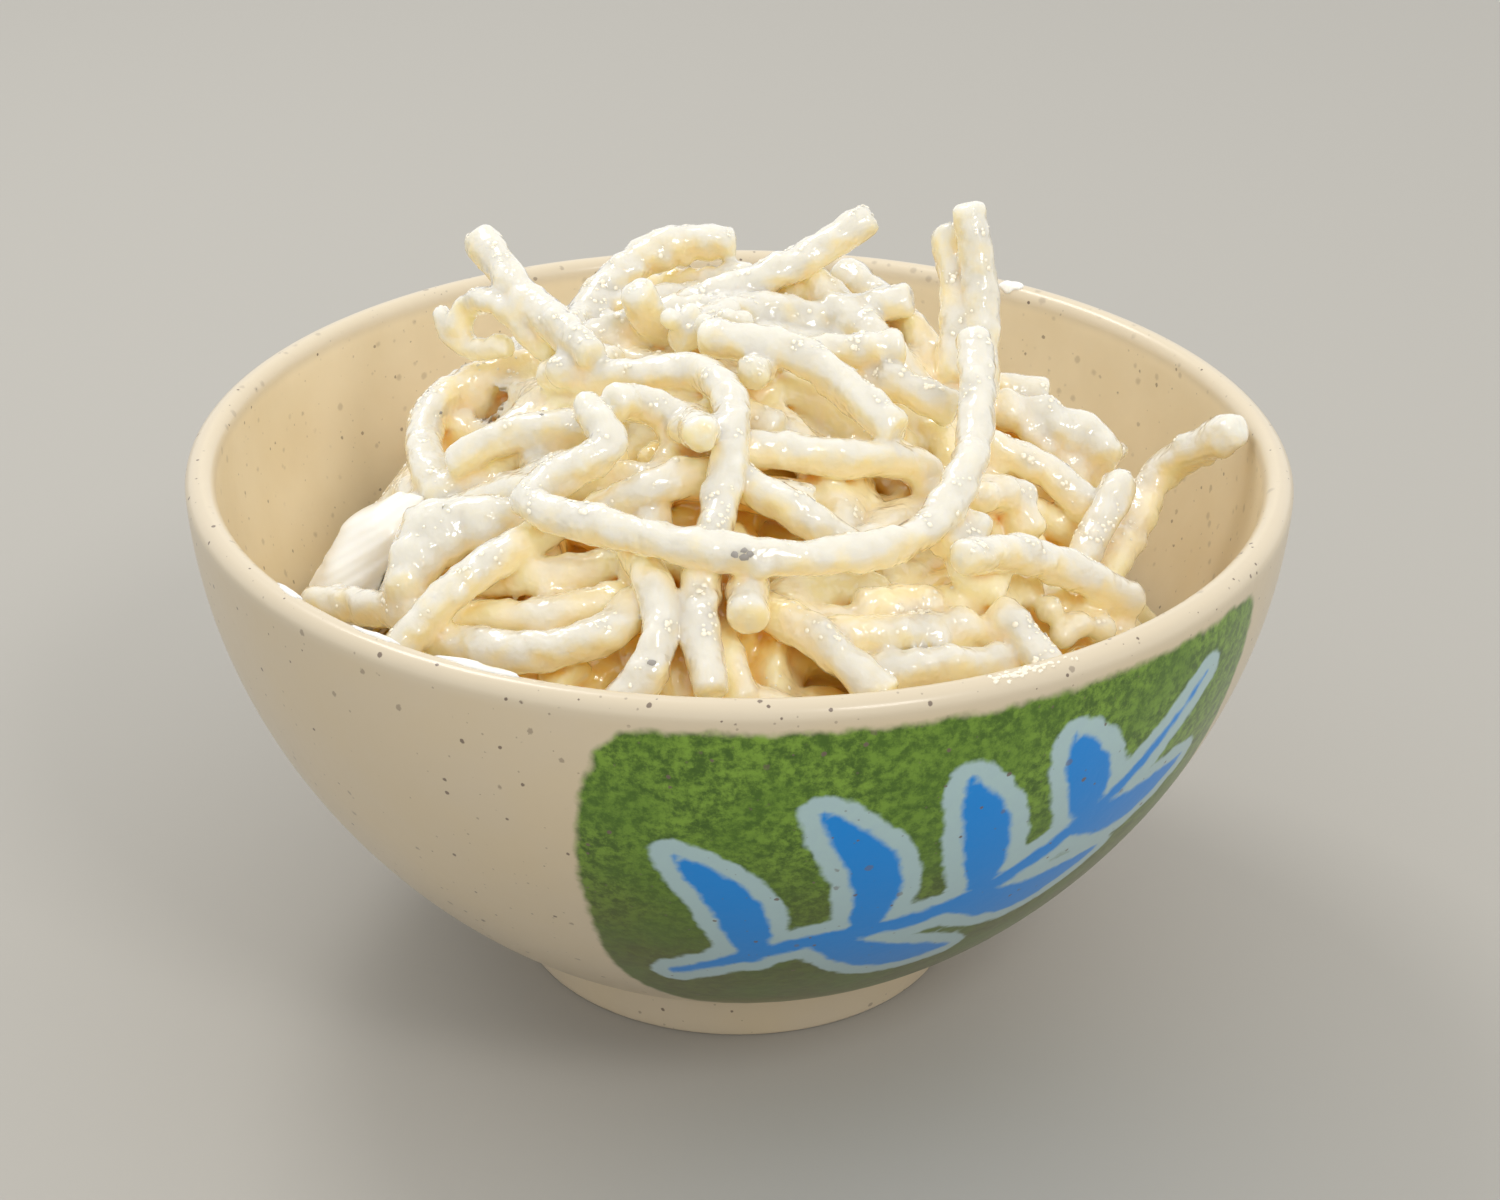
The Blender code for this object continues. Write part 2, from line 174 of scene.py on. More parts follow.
def inner_radius(z):
    share = np.clip((z - FLOOR_HEIGHT) / (RIM_HEIGHT - FLOOR_HEIGHT), 0, 1)
    return (RIM_RADIUS - WALL) * swelling(share, INNER_FULLNESS)


def rounded(corner, start, end, radius):
    """Points of a fillet where two straight runs of a profile meet."""
    corner = Vector(corner)
    first = corner + (Vector(start) - corner).normalized() * radius
    last = corner + (Vector(end) - corner).normalized() * radius
    return [tuple(first.lerp(corner, part).lerp(corner.lerp(last, part), part))
            for part in np.arange(FILLET_STEPS + 1) / FILLET_STEPS]


def bowl_profile():
    """Radius and height from under the middle, up the outside, over the lip and down to the middle."""
    foot_inside = FOOT_RADIUS - FOOT_WALL
    points = [(RECESS_STEP * i, FOOT_RECESS) for i in range(1, 4)]
    points += rounded((foot_inside, FOOT_RECESS), (0, FOOT_RECESS), (foot_inside, 0), RECESS_FILLET)
    points += rounded((foot_inside, 0), (foot_inside, FOOT_RECESS), (FOOT_RADIUS, 0), FOOT_FILLET)
    points += rounded((FOOT_RADIUS, 0), (foot_inside, 0), (FOOT_RADIUS, FOOT_HEIGHT), FOOT_FILLET)
    points += [(FOOT_RADIUS + (FOOT_TOP_RADIUS - FOOT_RADIUS) * i / FOOT_RINGS, FOOT_HEIGHT * i / FOOT_RINGS)
               for i in range(1, FOOT_RINGS)]
    for i in range(1, OUTER_RINGS + 1):
        z = FOOT_HEIGHT + (LIP_HEIGHT - FOOT_HEIGHT) * (i / OUTER_RINGS) ** OUTER_CROWDING
        points.append((outer_radius(z), z))
    lip = WALL / 2
    for i in range(1, LIP_RINGS):
        angle = math.pi * i / LIP_RINGS
        points.append((RIM_RADIUS - lip + lip * math.cos(angle), LIP_HEIGHT + lip * math.sin(angle)))
    for i in range(INNER_RINGS, 0, -1):
        z = FLOOR_HEIGHT + (LIP_HEIGHT - FLOOR_HEIGHT) * (i / INNER_RINGS) ** INNER_CROWDING
        points.append((float(inner_radius(z)), z))
    return points + [(FLOOR_STEP * i, FLOOR_HEIGHT) for i in range(4, 0, -1) if FLOOR_STEP * i < points[-1][0]]


def once_round(sides):
    """Each point of a ring, with the one after it."""
    return [(side, (side + 1) % sides) for side in range(sides)]


def mesh_from_arrays(name, verts, faces):
    mesh = bpy.data.meshes.new(name)
    mesh.from_pydata(verts.tolist(), [], faces)
    return mesh


profile = bowl_profile()
angles = np.arange(BOWL_SIDES) * 2 * math.pi / BOWL_SIDES
radii = np.array([r for r, z in profile])[:, None]
heights = np.array([z for r, z in profile])[:, None]
verts = np.stack([radii * np.cos(angles), radii * np.sin(angles), heights + 0 * angles], -1).reshape(-1, 3)
verts = np.concatenate([verts, [(0, 0, FOOT_RECESS), (0, 0, FLOOR_HEIGHT)]])
last_ring = (len(profile) - 1) * BOWL_SIDES
faces = [(low + side, low + after, low + BOWL_SIDES + after, low + BOWL_SIDES + side)
         for low in range(0, last_ring, BOWL_SIDES) for side, after in once_round(BOWL_SIDES)]
for side, after in once_round(BOWL_SIDES):
    faces += [(len(verts) - 2, after, side), (len(verts) - 1, last_ring + side, last_ring + after)]
bowl_mesh = mesh_from_arrays("bowl_glazed", verts * MM, faces)

# where the colours lie on the outside: degrees round from the front, and mm of height
PANEL_MIDDLE = (22.5, 36.5)
PANEL_HALF = (38.5, 25.6)
PANEL_CORNERS = (3.5, 16.0)  # at the top and at the bottom
PANEL_BOW = 4.2  # degrees that the left side draws in towards the top
PANEL_BOW_START, PANEL_BOW_REACH = 3.5, 22  # mm above the middle where that starts, and its run
STEM_WIDTH, LEAF_WIDTH, STROKE_STEPS = 1.3, 2.6, 6
BRUSH_START, BRUSH_RUN, BRUSH_SWELL = 0.12, 0.86, 0.8  # how a stroke swells from its start to its point
SKIN = 1.0  # mm under the outside that still count as the outside
FAR = 30.0  # mm to the paint, wherever there is none near
SPRIG = [((-8, 24), (8, 31), (24, 34), (40, 44), (52, 56)),
         ((2, 28), (0, 38), (-6, 46)),
         ((14, 32), (14, 42), (8, 52)),
         ((27, 36), (25, 46), (22, 54)),
         ((38, 43), (36, 50), (33, 56)),
         ((9, 31), (17, 26), (28, 24)),
         ((24, 34), (34, 32), (44, 35)),
         ((37, 42), (45, 41), (53, 44))]


def stroke_distance(u, v, points, width):
    """Distance in mm to a brush stroke that swells in its middle and ends in a point."""
    points = np.array(points, float)
    lengths = np.hypot(*(points[1:] - points[:-1]).T)
    total = lengths.sum()
    best = np.full(len(u), FAR)
    walked = 0
    for start, end, length in zip(points[:-1], points[1:], lengths):
        way = (end - start) / length
        along = np.clip((u - start[0]) * way[0] + (v - start[1]) * way[1], 0, length)
        away = np.hypot(u - start[0] - along * way[0], v - start[1] - along * way[1])
        share = (walked + along) / total
        swell = np.sin(math.pi * (BRUSH_START + BRUSH_RUN * share)) ** BRUSH_SWELL
        best = np.minimum(best, away - width * swell)
        walked += length
    return best


def smooth_line(points, count):
    """A smooth curve through points of any number of coordinates."""
    points = np.array(points, float)
    ends = np.concatenate([[2 * points[0] - points[1]], points, [2 * points[-1] - points[-2]]])
    curve = []
    for a, b, c, d in zip(ends, ends[1:], ends[2:], ends[3:]):
        t = np.linspace(0, 1, count, endpoint=False)[:, None]
        curve.append(0.5 * (2 * b + (c - a) * t + (2 * a - 5 * b + 4 * c - d) * t ** 2
                            + (3 * b - a - 3 * c + d) * t ** 3))
    return np.concatenate(curve + [points[-1:]])


around = np.degrees(np.arctan2(verts[:, 0], -verts[:, 1]))
height = verts[:, 2]
reach = np.hypot(verts[:, 0], verts[:, 1])
u = around - PANEL_MIDDLE[0]
v = height - PANEL_MIDDLE[1]
corner = np.where(v > 0, PANEL_CORNERS[0], PANEL_CORNERS[1])
bow = np.where(u < 0, PANEL_BOW, 0.0) * (np.maximum(v - PANEL_BOW_START, 0) / PANEL_BOW_REACH) ** 2
over_u = np.abs(u) - PANEL_HALF[0] + bow + corner
over_v = np.abs(v) - PANEL_HALF[1] + corner
panel = np.hypot(np.maximum(over_u, 0), np.maximum(over_v, 0)) + np.minimum(np.maximum(over_u, over_v), 0)
panel = panel - corner
outside = reach > outer_radius(np.clip(height, FOOT_HEIGHT, LIP_HEIGHT)) - SKIN
panel = np.where(outside & (height > FOOT_HEIGHT), panel, FAR)
stroke = np.full(len(verts), FAR)
for index, points in enumerate(SPRIG):
    width = LEAF_WIDTH if index else STEM_WIDTH
    stroke = np.minimum(stroke, stroke_distance(around, height, smooth_line(points, STROKE_STEPS), width))
stroke = np.where(outside, stroke, FAR)


def write_attribute(mesh, name, values):
    mesh.attributes.new(name, 'FLOAT', 'POINT').data.foreach_set("value", np.asarray(values, np.float32))


write_attribute(bowl_mesh, "panel", panel)
write_attribute(bowl_mesh, "stroke", stroke)

# Glazed stoneware: a satin glaze over clay with iron in it, fired until the iron comes through as brown
# specks. It gives the eye a soft sheen, and a warmer tone inside, where the glaze is thicker. The outside's
# cream is painted darker than the inside's tan: painted shade on the outer wall.
SHADED_CREAM_OUTSIDE, TAN_INSIDE, TAN_CLOUD = "#c9baa1", "#e9dbbe", "#cdb88e"
LIP, CREASE, SPECK = "#cfc2ab", "#6d5a44", "#6a5a50"
GREEN_DARK, GREEN_LIGHT, GREEN_LOW, GREEN_THICK = "#3c5a16", "#759733", "#4a4a12", "#4c7019"
BLUE, BLUE_HALO = "#0080d2", "#a9c2c8"
SMOOTH = {"interpolation_type": 'SMOOTHSTEP'}
glaze = new_material("glazed_stoneware_speckled")
tree = glaze.node_tree
place = add_node(tree, "TexCoord").outputs["Object"]


def per_metre(size_mm):
    """Texture scale for a pattern whose features are that many millimetres apart."""
    return 1000 / size_mm


def painted(tree, base, *layers):
    """A colour with others laid over it in turn. Each layer is a colour and its share, or a colour, a value,
    the two ends of a range of that value, and the shares there, which are none and all unless given."""
    for tint, share, *ends in layers:
        if ends:
            share = add_node(tree, "MapRange", (share, *ends), **SMOOTH)
        base = add_node(tree, "Mix", {0: share, 6: base, 7: tint}, data_type='RGBA').outputs[2]
    return base


# each cloudy pattern's size in mm, its detail and its roughness
clouds, mottle, wide_mottle, wobble, ripple = (
    add_node(tree, "TexNoise",
             {"Vector": place, "Scale": per_metre(size), "Detail": detail, "Roughness": rough})
    for size, detail, rough in (
        (14, 4.0, 0.5), (1.3, 5.0, 0.7), (9, 3.0, 0.5), (2.2, 3.0, 0.5), (3.0, 3.0, 0.5)))
split = add_node(tree, "SeparateXYZ", (place,))
level = split.outputs["Z"]
from_axis = add_node(tree, "CombineXYZ", (split.outputs["X"], split.outputs["Y"]))
normal = add_node(tree, "NewGeometry").outputs["Normal"]
facing_out = add_node(tree, "VectorMath", (normal, from_axis), operation='DOT_PRODUCT').outputs["Value"]
inside = add_node(tree, "MapRange", (facing_out, 0.01, -0.01), **SMOOTH)
# the glaze is painted brown in the crease over the foot, on the outside
crease = add_node(tree, "MapRange", (level, 0.0058, 0.0063), **SMOOTH)
for ends in ((level, 0.0072, 0.0065), (inside, 0.5, 0.2, 0.0, 0.7)):
    crease = add_node(tree, "Math", (crease, add_node(tree, "MapRange", ends, **SMOOTH)),
                      operation='MULTIPLY')
# the edges of the paint waver by up to about half a millimetre
wobble_mm = add_node(tree, "MapRange", (wobble, 0.2, 0.8, -0.45, 0.45))
panel_edge, stroke_edge = (
    add_node(tree, "Math", (add_node(tree, "Attribute", attribute_name=name).outputs["Fac"],
                                      wobble_mm), operation='ADD') for name in ("panel", "stroke"))
# the green is painted darker and more olive towards the bottom of the panel
green = painted(tree, GREEN_DARK, (GREEN_LIGHT, mottle, 0.36, 0.66),
                (GREEN_LOW, level, 0.052, 0.025, 0.0, 0.75), (GREEN_THICK, wide_mottle, 0.4, 0.65, 0.0, 0.4))
# the outside's darker cream is painted shade; the inside takes the lighter tan
body = painted(tree, SHADED_CREAM_OUTSIDE, (TAN_INSIDE, inside), (TAN_CLOUD, clouds, 0.3, 0.7, 0.0, 0.25),
               (LIP, level, 0.0622, 0.0640, 0.0, 0.8), (CREASE, crease), (green, panel_edge, 0.5, -0.6),
               (BLUE_HALO, stroke_edge, 2.5, 1.8, 0.0, 0.9), (BLUE, stroke_edge, 0.5, -0.4))
# Iron specks of a few tenths of a millimetre with ragged edges, more of them on the lip, and faint larger
# stains inside. Each kind as its spacing in mm, its greatest size against that, its strength, how soft its
# edge is, and where it shows.
ragged = add_node(tree, "MapRange", (mottle, 0.3, 0.7, -0.05, 0.05), **SMOOTH)
all_over = add_node(tree, "MapRange", (inside, 0.4, 0.9, 1.0, 0.7), **SMOOTH)
on_lip = add_node(tree, "MapRange", (level, 0.0618, 0.0634), **SMOOTH)
for spacing, largest, strength, soft, where in (
        (2.1, 0.135, 0.85, 0.02, all_over), (3.4, 0.12, 0.5, 0.02, all_over), (1.2, 0.12, 0.4, 0.02, all_over),
        (1.5, 0.15, 0.9, 0.02, on_lip), (2.3, 0.15, 0.27, 0.14, inside)):
    cells = add_node(tree, "TexVoronoi", {"Vector": place, "Scale": per_metre(spacing)})
    pick = add_node(tree, "SeparateColor", (cells.outputs["Color"],)).outputs["Red"]
    size = add_node(tree, "MapRange", (pick, 0.25, 1.0, -0.02, largest), **SMOOTH)
    gap = add_node(tree, "Math", (cells.outputs["Distance"], size), operation='SUBTRACT')
    gap = add_node(tree, "Math", (gap, ragged), operation='ADD')
    shown = add_node(tree, "MapRange", (gap, soft, -0.03, 0.0, strength), **SMOOTH)
    body = painted(tree, body, (SPECK, add_node(tree, "Math", (shown, where), operation='MULTIPLY')))
bump = add_node(tree, "Bump", {"Height": ripple, "Strength": 0.12, "Distance": 0.0004})
fill_inputs(tree.nodes["Principled BSDF"],
            {"Base Color": body, "Roughness": 0.3, "Specular IOR Level": 0.35, "Coat Weight": 0.2,
             "Coat Roughness": 0.1, "Normal": bump})
bowl = object_from_mesh("bowl_glazed", bowl_mesh, glaze)
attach(bowl, "root")
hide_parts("bowl")

# The salad: cooked wheat noodles about 4.5 mm thick, cut to length and turned in a creamy dressing.
# The ones that show lie as they do in the photograph; the rest fill the heap under and behind them.
# The dressing joins those that touch, so they are shaped together as one body.
GAP = 0.45  # between the food and the curve of the bowl's inside
NOODLE_GAP = 0.3  # and what a noodle keeps more than that
HEAP_CENTRE = (-4.0, 1.0)
HEAP_PEAK = 76.0
HEAP_FULLNESS = 0.8
HEAP_EDGE_SIDE = 38.0
HEAP_EDGE_FRONT = 49.0
HEAP_EDGE_BACK = 38.0
HEAP_REACH_X = 50.5
HEAP_REACH_FRONT = 56.0
HEAP_REACH_BACK = 51.0
NOODLE = 4.5
SEED = 41
# each as its thickness, how large its lumps of dressing are against a plain one's, and the points that it
# passes through, from one end to the other
SHOWN_NOODLES = {
    "long_arc": (4.5, 1, (-16, -22, 78), (-14, -27, 76), (-20, -29, 73), (-22, -32, 72), (-18, -36, 72),
        (-6, -41, 71.5), (6, -41, 70), (18, -34, 69), (24, -25, 72), (26, -15, 76), (26, -7, 80)),
    "winding": (4.5, 1, (-21, -5, 75), (-12, -10, 77), (-5, -11, 78), (-1, -20, 78), (-2, -32, 72),
        (-4, -43, 66.5), (-3, -51, 61)),
    "stick_left": (4.5, 1.2, (-30, 11, 84.5), (-24, 2, 81), (-17, -8, 79)),
    "claw_upper": (3.5, 1.3, (-32.6, 6, 76.4), (-31.6, 6.5, 78.6), (-28.6, 4.2, 80.2), (-26, 1.5, 79.6),
        (-22, -1.5, 76.5)),
    "claw_lower": (2.9, 1.1, (-34.9, 8, 77), (-33.6, 6.5, 74.8), (-30.6, 4, 74.1), (-27, 1.5, 75.4)),
    "arch_back": (5.0, 1.4, (-19, 12, 74), (-15, 19, 77.5), (-8, 22.5, 80.4), (-2.5, 23.5, 80.2)),
    "knob_back": (4.6, 1, (-6, 12, 77), (5, 15, 80), (14, 18, 85)),
    "ridge_front": (4.6, 1.5, (-20, 5, 74), (-6, 9, 77), (10, 11, 75), (22, 6, 70)),
    "ridge_back": (4.6, 1.4, (-13, 25, 73), (0, 20, 76.5), (12, 15, 75), (20, 17, 71)),
    "cut_end": (4.8, 1, (-11.6, 3, 81.2), (-9.8, 5.2, 76.6), (-7, 8, 73)),
    "diagonal": (4.8, 1, (-3, -6, 80), (7, -9, 79), (16, -17, 74.5)),
    "flat_end": (4.6, 1, (5, -2, 76), (17, -1, 77)),
    "short_right": (4.6, 1, (13, -1, 73), (18, -4, 73.5), (23, -6, 72)),
    "cut_short": (4.6, 1, (-13, -19.5, 77.8), (-11, -17.5, 76.8), (-5, -18, 75)),
    "knob_front": (4.5, 1, (-4.2, -28, 78.2), (-4.8, -23, 76.5), (-7, -18, 74)),
    "knob_middle": (4.2, 1.3, (1.6, -12.5, 78.6), (2.5, -7, 77), (4, 0, 75)),
    "loop_outer": (5.0, 1, (-24.5, 6.5, 71), (-27.5, 6, 70.6), (-31, 5, 69.6), (-34.6, 2, 68.6),
        (-36.2, -3, 66.9), (-35.4, -9, 66), (-33.4, -14, 64.6)),
    "loop_inner": (4.6, 1, (-17, -12, 72), (-24, -13, 71.5), (-31, -14, 68.5)),
    "loop_behind": (4.4, 1, (-33, 1, 66), (-30, 5, 65.5), (-24, 7, 68)),
    "bulge_left": (5.0, 1.5, (-35, -34, 63.5), (-34, -29, 67), (-29, -28, 68.5), (-22, -29, 68)),
    "sweep_left": (4.6, 1, (-20, -31, 68.5), (-28, -38, 66), (-35, -43, 60.5)),
    "by_dollop": (4.2, 1.4, (-46, -26, 57), (-34, -36, 60.5)),
    "front_left": (4.8, 1, (-31, -40, 59.5), (-22, -45, 61), (-14, -45, 63), (-11, -41, 64)),
    "front_left_low": (4.4, 1, (-30, -36, 60), (-21, -39, 62), (-13, -38, 63.5)),
    "front_left_deep": (4.4, 1, (-27, -33, 63), (-20, -34.5, 64.5), (-13, -33, 65.5)),
    "front_drop": (4.4, 1, (-11, -36, 68.5), (-8, -44, 66), (-9, -50, 62), (-12, -52, 59)),
    "front_twin": (4.4, 1, (-1, -34, 65), (-2, -43, 62), (0, -48, 58)),
    "front_stub": (4.8, 1, (1, -36, 67.5), (1, -45, 66)),
    "front_diagonal": (4.6, 1.2, (2, -39, 63.5), (8, -44, 62.5), (14, -49, 59)),
    "under_arc_left": (4.6, 1, (-4, -25, 72), (-9, -28, 72), (-15, -28, 69)),
    "under_arc_right": (4.6, 1, (0, -27, 72), (6, -31, 70.5), (12, -31, 66)),
    "level_right": (4.8, 1, (1, -22, 73.5), (13, -20.5, 72), (20, -17, 69), (22, -21, 65)),
    "slope_right_upper": (4.6, 1.4, (8.4, 17, 77.8), (16, 7, 74.6), (21, 2, 70)),
    "slope_right_long": (4.6, 1.4, (13, 23, 76.5), (21.5, 11.5, 72.6), (26.5, 2, 67.8)),
    "stand_tall": (4.6, 1.2, (26.5, 13, 87.7), (28, 9, 79.5), (28, 2, 71)),
    "stand_back": (5.2, 1.2, (24.6, 16, 83.4), (25.6, 11, 78), (25.2, 5, 72)),
    "stub_right": (4.4, 1, (26, 9, 68), (35, 9, 67.5)),
    "lump_right_upper": (4.6, 2, (28, 4, 66.5), (36, 5, 65), (43, 3, 62)),
    "lump_right_lower": (4.6, 1.8, (29, 6, 62.5), (37, 7, 60), (43, 6, 59)),
    "curve_right": (4.6, 1.3, (27, -3, 66), (35, -5, 63.5), (41, -8, 59)),
    "low_right": (4.6, 1, (30, -6, 61), (39, -7, 56)),
    "blob_right": (5.0, 1.8, (26, -16, 65), (30, -14, 64.5), (32, -16, 62)),
    "upright_right": (4.6, 1, (43, -8, 63), (38, -17, 57)),
    "lean_right": (4.6, 1.4, (57.3, 3, 65), (51, 9, 57.5), (47, 3, 53), (41, -9, 48)),
    "end_right": (4.6, 1, (24, -36, 68), (31, -30, 65), (42.5, -25, 57.5)),
    "step_right": (4.6, 1.6, (22, -30, 67), (25, -27, 67), (24, -32, 64.5), (27, -32, 62.5)),
    "front_right_upper": (4.8, 1.7, (14, -36, 62), (23, -33, 60.5), (31, -27, 59.5)),
    "front_right_middle": (4.8, 1.6, (10, -42, 61.5), (20, -39, 60.5), (29, -34, 57)),
    "front_right_lower": (4.6, 1.6, (13, -45, 58.5), (22, -43, 58.5), (31, -38, 56)),
    "chunk_right": (5.6, 2.1, (32, -26, 57), (41, -26, 53.5)),
    "end_front_right": (4.4, 1.4, (28, -36, 61), (32, -42, 58.5)),
}
# the noodles spread over the back, as in the solids
SPREAD_PLACES = 54
SPREAD_REACH = 49.0
SPREAD_LENGTH = (20.0, 34.0)
SPREAD_BEND = 70.0
SPREAD_LIFT = (0.8, 3.0)
SPREAD_THICKNESS = (0.9, 1.06)
FRONT_LIMIT = 8.0  # in front of this the shown ones take their place
LOOSE_ENDS, END_RISE = 5, 7.0  # one in so many lifts its end by so much
PARTS = (-0.5, -0.17, 0.17, 0.5)  # where a laid noodle's points lie, as shares of its length
# under the shown ones, layers of buried noodles: how many, and how far their middles lie from the core's
# top in the solids
BURIED_LAYERS = ((70, -1.2), (110, -4.2))
BURIED_SEED = 7
BURIED_THICKNESS = (0.9, 1.08)
BURIED_REACH = 52
BURIED_LENGTH = (22, 40)
BURIED_BEND = 80
BURIED_RISE = 1.2
CORE_DROP = 6.0  # how far the closed middle of the heap lies under the core's top in the solids
# lumps of dressing on every noodle, for each mm of its length, and their least and greatest radius
CLOTS = 0.5
CLOT_RADIUS = (0.4, 0.85)
# the fill is cut back to two planes through the photograph's viewpoint, left of which it shows bare wall
BARE_WALL = ((-0.9937, -0.1027, 0.0444), (-0.7991, 0.165, 0.5781))
# the fill is hollowed inside the loop at the left, where the photograph shows a deep gap
LOOP_GAP = ((-27.7, 3.0, 66.6), 3.6)
# single lumps that stand out in the photograph: place and radius
SINGLE_CLOTS = [
    (-8, -1.6, 80.5, 1.3), (-5.8, 0.3, 80.4, 1.2), (-4, -2.8, 80.3, 1.3), (-1.7, 0.9, 79.7, 1.2),
    (0.2, 1.2, 79.1, 1.3), (27, -18, 66.3, 1.9), (29.4, -16.1, 66, 1.9), (25, -26.3, 66, 1.7),
    (24.2, -31.5, 64.8, 1.8), (57.6, 4.4, 64.6, 1.9), (56.4, 2.8, 63.6, 1.8), (31, 4.5, 68, 1.7),
    (35.6, 5, 66.8, 1.9), (39.1, 3.8, 65.2, 1.9), (42.1, 2.6, 63.2, 1.7), (41, 5, 60.8, 1.7),
    (-31.5, -29.5, 66.3, 3.2), (-27, -28.5, 67.3, 3.2), (-33.8, -32, 65, 2.6), (-35.3, -34.3, 63, 2.2),
    (31.6, 3, 67.3, 1.5), (33.8, 2.5, 65, 1.5), (35.6, 2, 63.2, 1.5), (37.1, 3, 65.7, 1.6),
    (38.5, 2.5, 64, 1.4), (40.7, 4, 65.3, 1.5), (42.2, 3.5, 63.9, 1.4), (43.3, 4, 61.5, 1.5),
    (41.1, 3, 61, 1.7), (44.6, 5, 61.7, 1.1), (38.1, 2, 61.4, 1.7), (39.2, 1.5, 59.6, 1.9),
    (42.4, 3, 58.7, 1.8), (-30.7, 4, 68, 1.8), (-18.9, -5, 78.6, 1.9), (-17.1, -6.2, 77.4, 1.9),
    (-20, -7.6, 76.6, 1.9), (33.5, -30, 58.6, 1.6), (36.6, -30, 56.8, 1.7), (39.4, -29, 55.8, 1.6),
    (34.8, -31.5, 56.2, 1.5)]


def core_height(x, y):
    """Top of the core in the solids, falling from the peak to the edge heights at the wall."""
    dx = x - HEAP_CENTRE[0]
    dy = y - HEAP_CENTRE[1]
    reach_y = np.where(dy < 0, HEAP_REACH_FRONT, HEAP_REACH_BACK)
    edge_there = np.where(dy < 0, HEAP_EDGE_FRONT, HEAP_EDGE_BACK)
    along_y = dy ** 2 / np.maximum(dx ** 2 + dy ** 2, 1e-4)
    edge = HEAP_EDGE_SIDE + (edge_there - HEAP_EDGE_SIDE) * along_y
    share = np.minimum(1, np.hypot(dx / HEAP_REACH_X, dy / reach_y))
    return edge + (HEAP_PEAK - edge) * (1 - share ** 2) ** HEAP_FULLNESS


def inside_bowl(point, radius):
    """The point, moved in from the wall where a noodle of that radius would cut it."""
    x, y, z = point
    room = inner_radius(z) - GAP - radius - NOODLE_GAP if z < RIM_HEIGHT + radius else RIM_RADIUS
    reach = math.hypot(x, y)
    return (x, y, z) if reach <= room else (x * room / reach, y * room / reach, z)


def laid_noodle(x, y, heading, length, bend, lift, thickness, rise):
    """Points of a noodle that lies over the dome at a place."""
    points = []
    for part in PARTS:
        way = heading + bend * part
        px = x + part * length * math.cos(way)
        py = y + part * length * math.sin(way)
        z = float(core_height(px, py)) + lift + (rise if part == PARTS[-1] else 0)
        points.append(inside_bowl((px, py, z), thickness / 2))
    return points


def spread_noodles():
    """The noodles behind and beside the shown ones, as in the solids."""
    draw = random.Random(SEED)
    golden = math.pi * (3 - math.sqrt(5))
    laid = []
    for place in range(SPREAD_PLACES):
        reach = SPREAD_REACH * math.sqrt((place + 0.5) / SPREAD_PLACES)
        x = HEAP_CENTRE[0] + reach * math.cos(place * golden)
        y = HEAP_CENTRE[1] + reach * math.sin(place * golden)
        heading = draw.uniform(0, math.pi)
        length = draw.uniform(*SPREAD_LENGTH)
        bend = math.radians(draw.uniform(-SPREAD_BEND, SPREAD_BEND))
        lift = draw.uniform(*SPREAD_LIFT)
        thickness = draw.uniform(*SPREAD_THICKNESS) * NOODLE
        if y < FRONT_LIMIT:
            continue
        rise = END_RISE if len(laid) % LOOSE_ENDS == 0 else 0
        laid.append((thickness, laid_noodle(x, y, heading, length, bend, lift, thickness, rise)))
    return laid


def buried_noodles():
    """Layers of noodles under those that show, as thickness and points."""
    draw = random.Random(BURIED_SEED)
    laid = []
    for count, lift in BURIED_LAYERS:
        for _ in range(count):
            reach = BURIED_REACH * math.sqrt(draw.random())
            way = draw.uniform(0, 2 * math.pi)
            x = HEAP_CENTRE[0] + reach * math.cos(way)
            y = HEAP_CENTRE[1] + reach * math.sin(way)
            thickness = draw.uniform(*BURIED_THICKNESS) * NOODLE
            bend = math.radians(draw.uniform(-BURIED_BEND, BURIED_BEND))
            heading = draw.uniform(0, math.pi)
            length = draw.uniform(*BURIED_LENGTH)
            depth = lift + draw.uniform(-BURIED_RISE, BURIED_RISE)
            laid.append((thickness, laid_noodle(x, y, heading, length, bend, depth, thickness, 0)))
    return laid


class Grid:
    """A box of evenly spaced samples, in mm."""

    def __init__(self, low, high, step):
        self.low = np.array(low, float)
        self.step = step
        self.axes = [np.arange(a, b, step, dtype=np.float32) for a, b in zip(low, high)]
        self.shape = tuple(len(axis) for axis in self.axes)

    def part(self, low, high):
        """Slices of the samples between two corners, and the three axes there."""
        first = np.maximum(np.floor((np.array(low) - self.low) / self.step).astype(int), 0)
        last = np.minimum(np.ceil((np.array(high) - self.low) / self.step).astype(int) + 1, self.shape)
        cut = tuple(slice(a, max(a, b)) for a, b in zip(first, last))
        x, y, z = (axis[c] for axis, c in zip(self.axes, cut))
        return cut, x[:, None, None], y[None, :, None], z[None, None, :]

    def sample(self, values, points):
        """Values at points, read between the samples."""
        where = np.clip((points - self.low) / self.step, 0, np.array(self.shape) - 1.001)
        base = where.astype(int)
        share = where - base
        total = 0
        for corner in range(8):
            step = np.array([corner & 1, corner >> 1 & 1, corner >> 2 & 1])
            weight = np.prod(np.where(step, share, 1 - share), axis=1)
            total = total + weight * values[tuple((base + step).T)]
        return total


BLEND = 0.6  # mm over which the dressing rounds the join of two noodles
CLOT_BLEND = 0.9
END_ROUNDING = 1.2
ROUND_SHARE = 0.9  # a round noodle against the six-sided one of the solids, across its corners
CURVE_STEPS = 10
LINK = 1.1  # mm between the marks along a noodle
OVERHANG = 0.8  # how far its end stands past its last point, against its radius
MARGIN = 2.2  # mm round a noodle in which it rounds what it touches
LUMP_BAND = 1.6  # mm on either side of its surface in which it swells and shrinks
LUMP_HEIGHT = 0.055
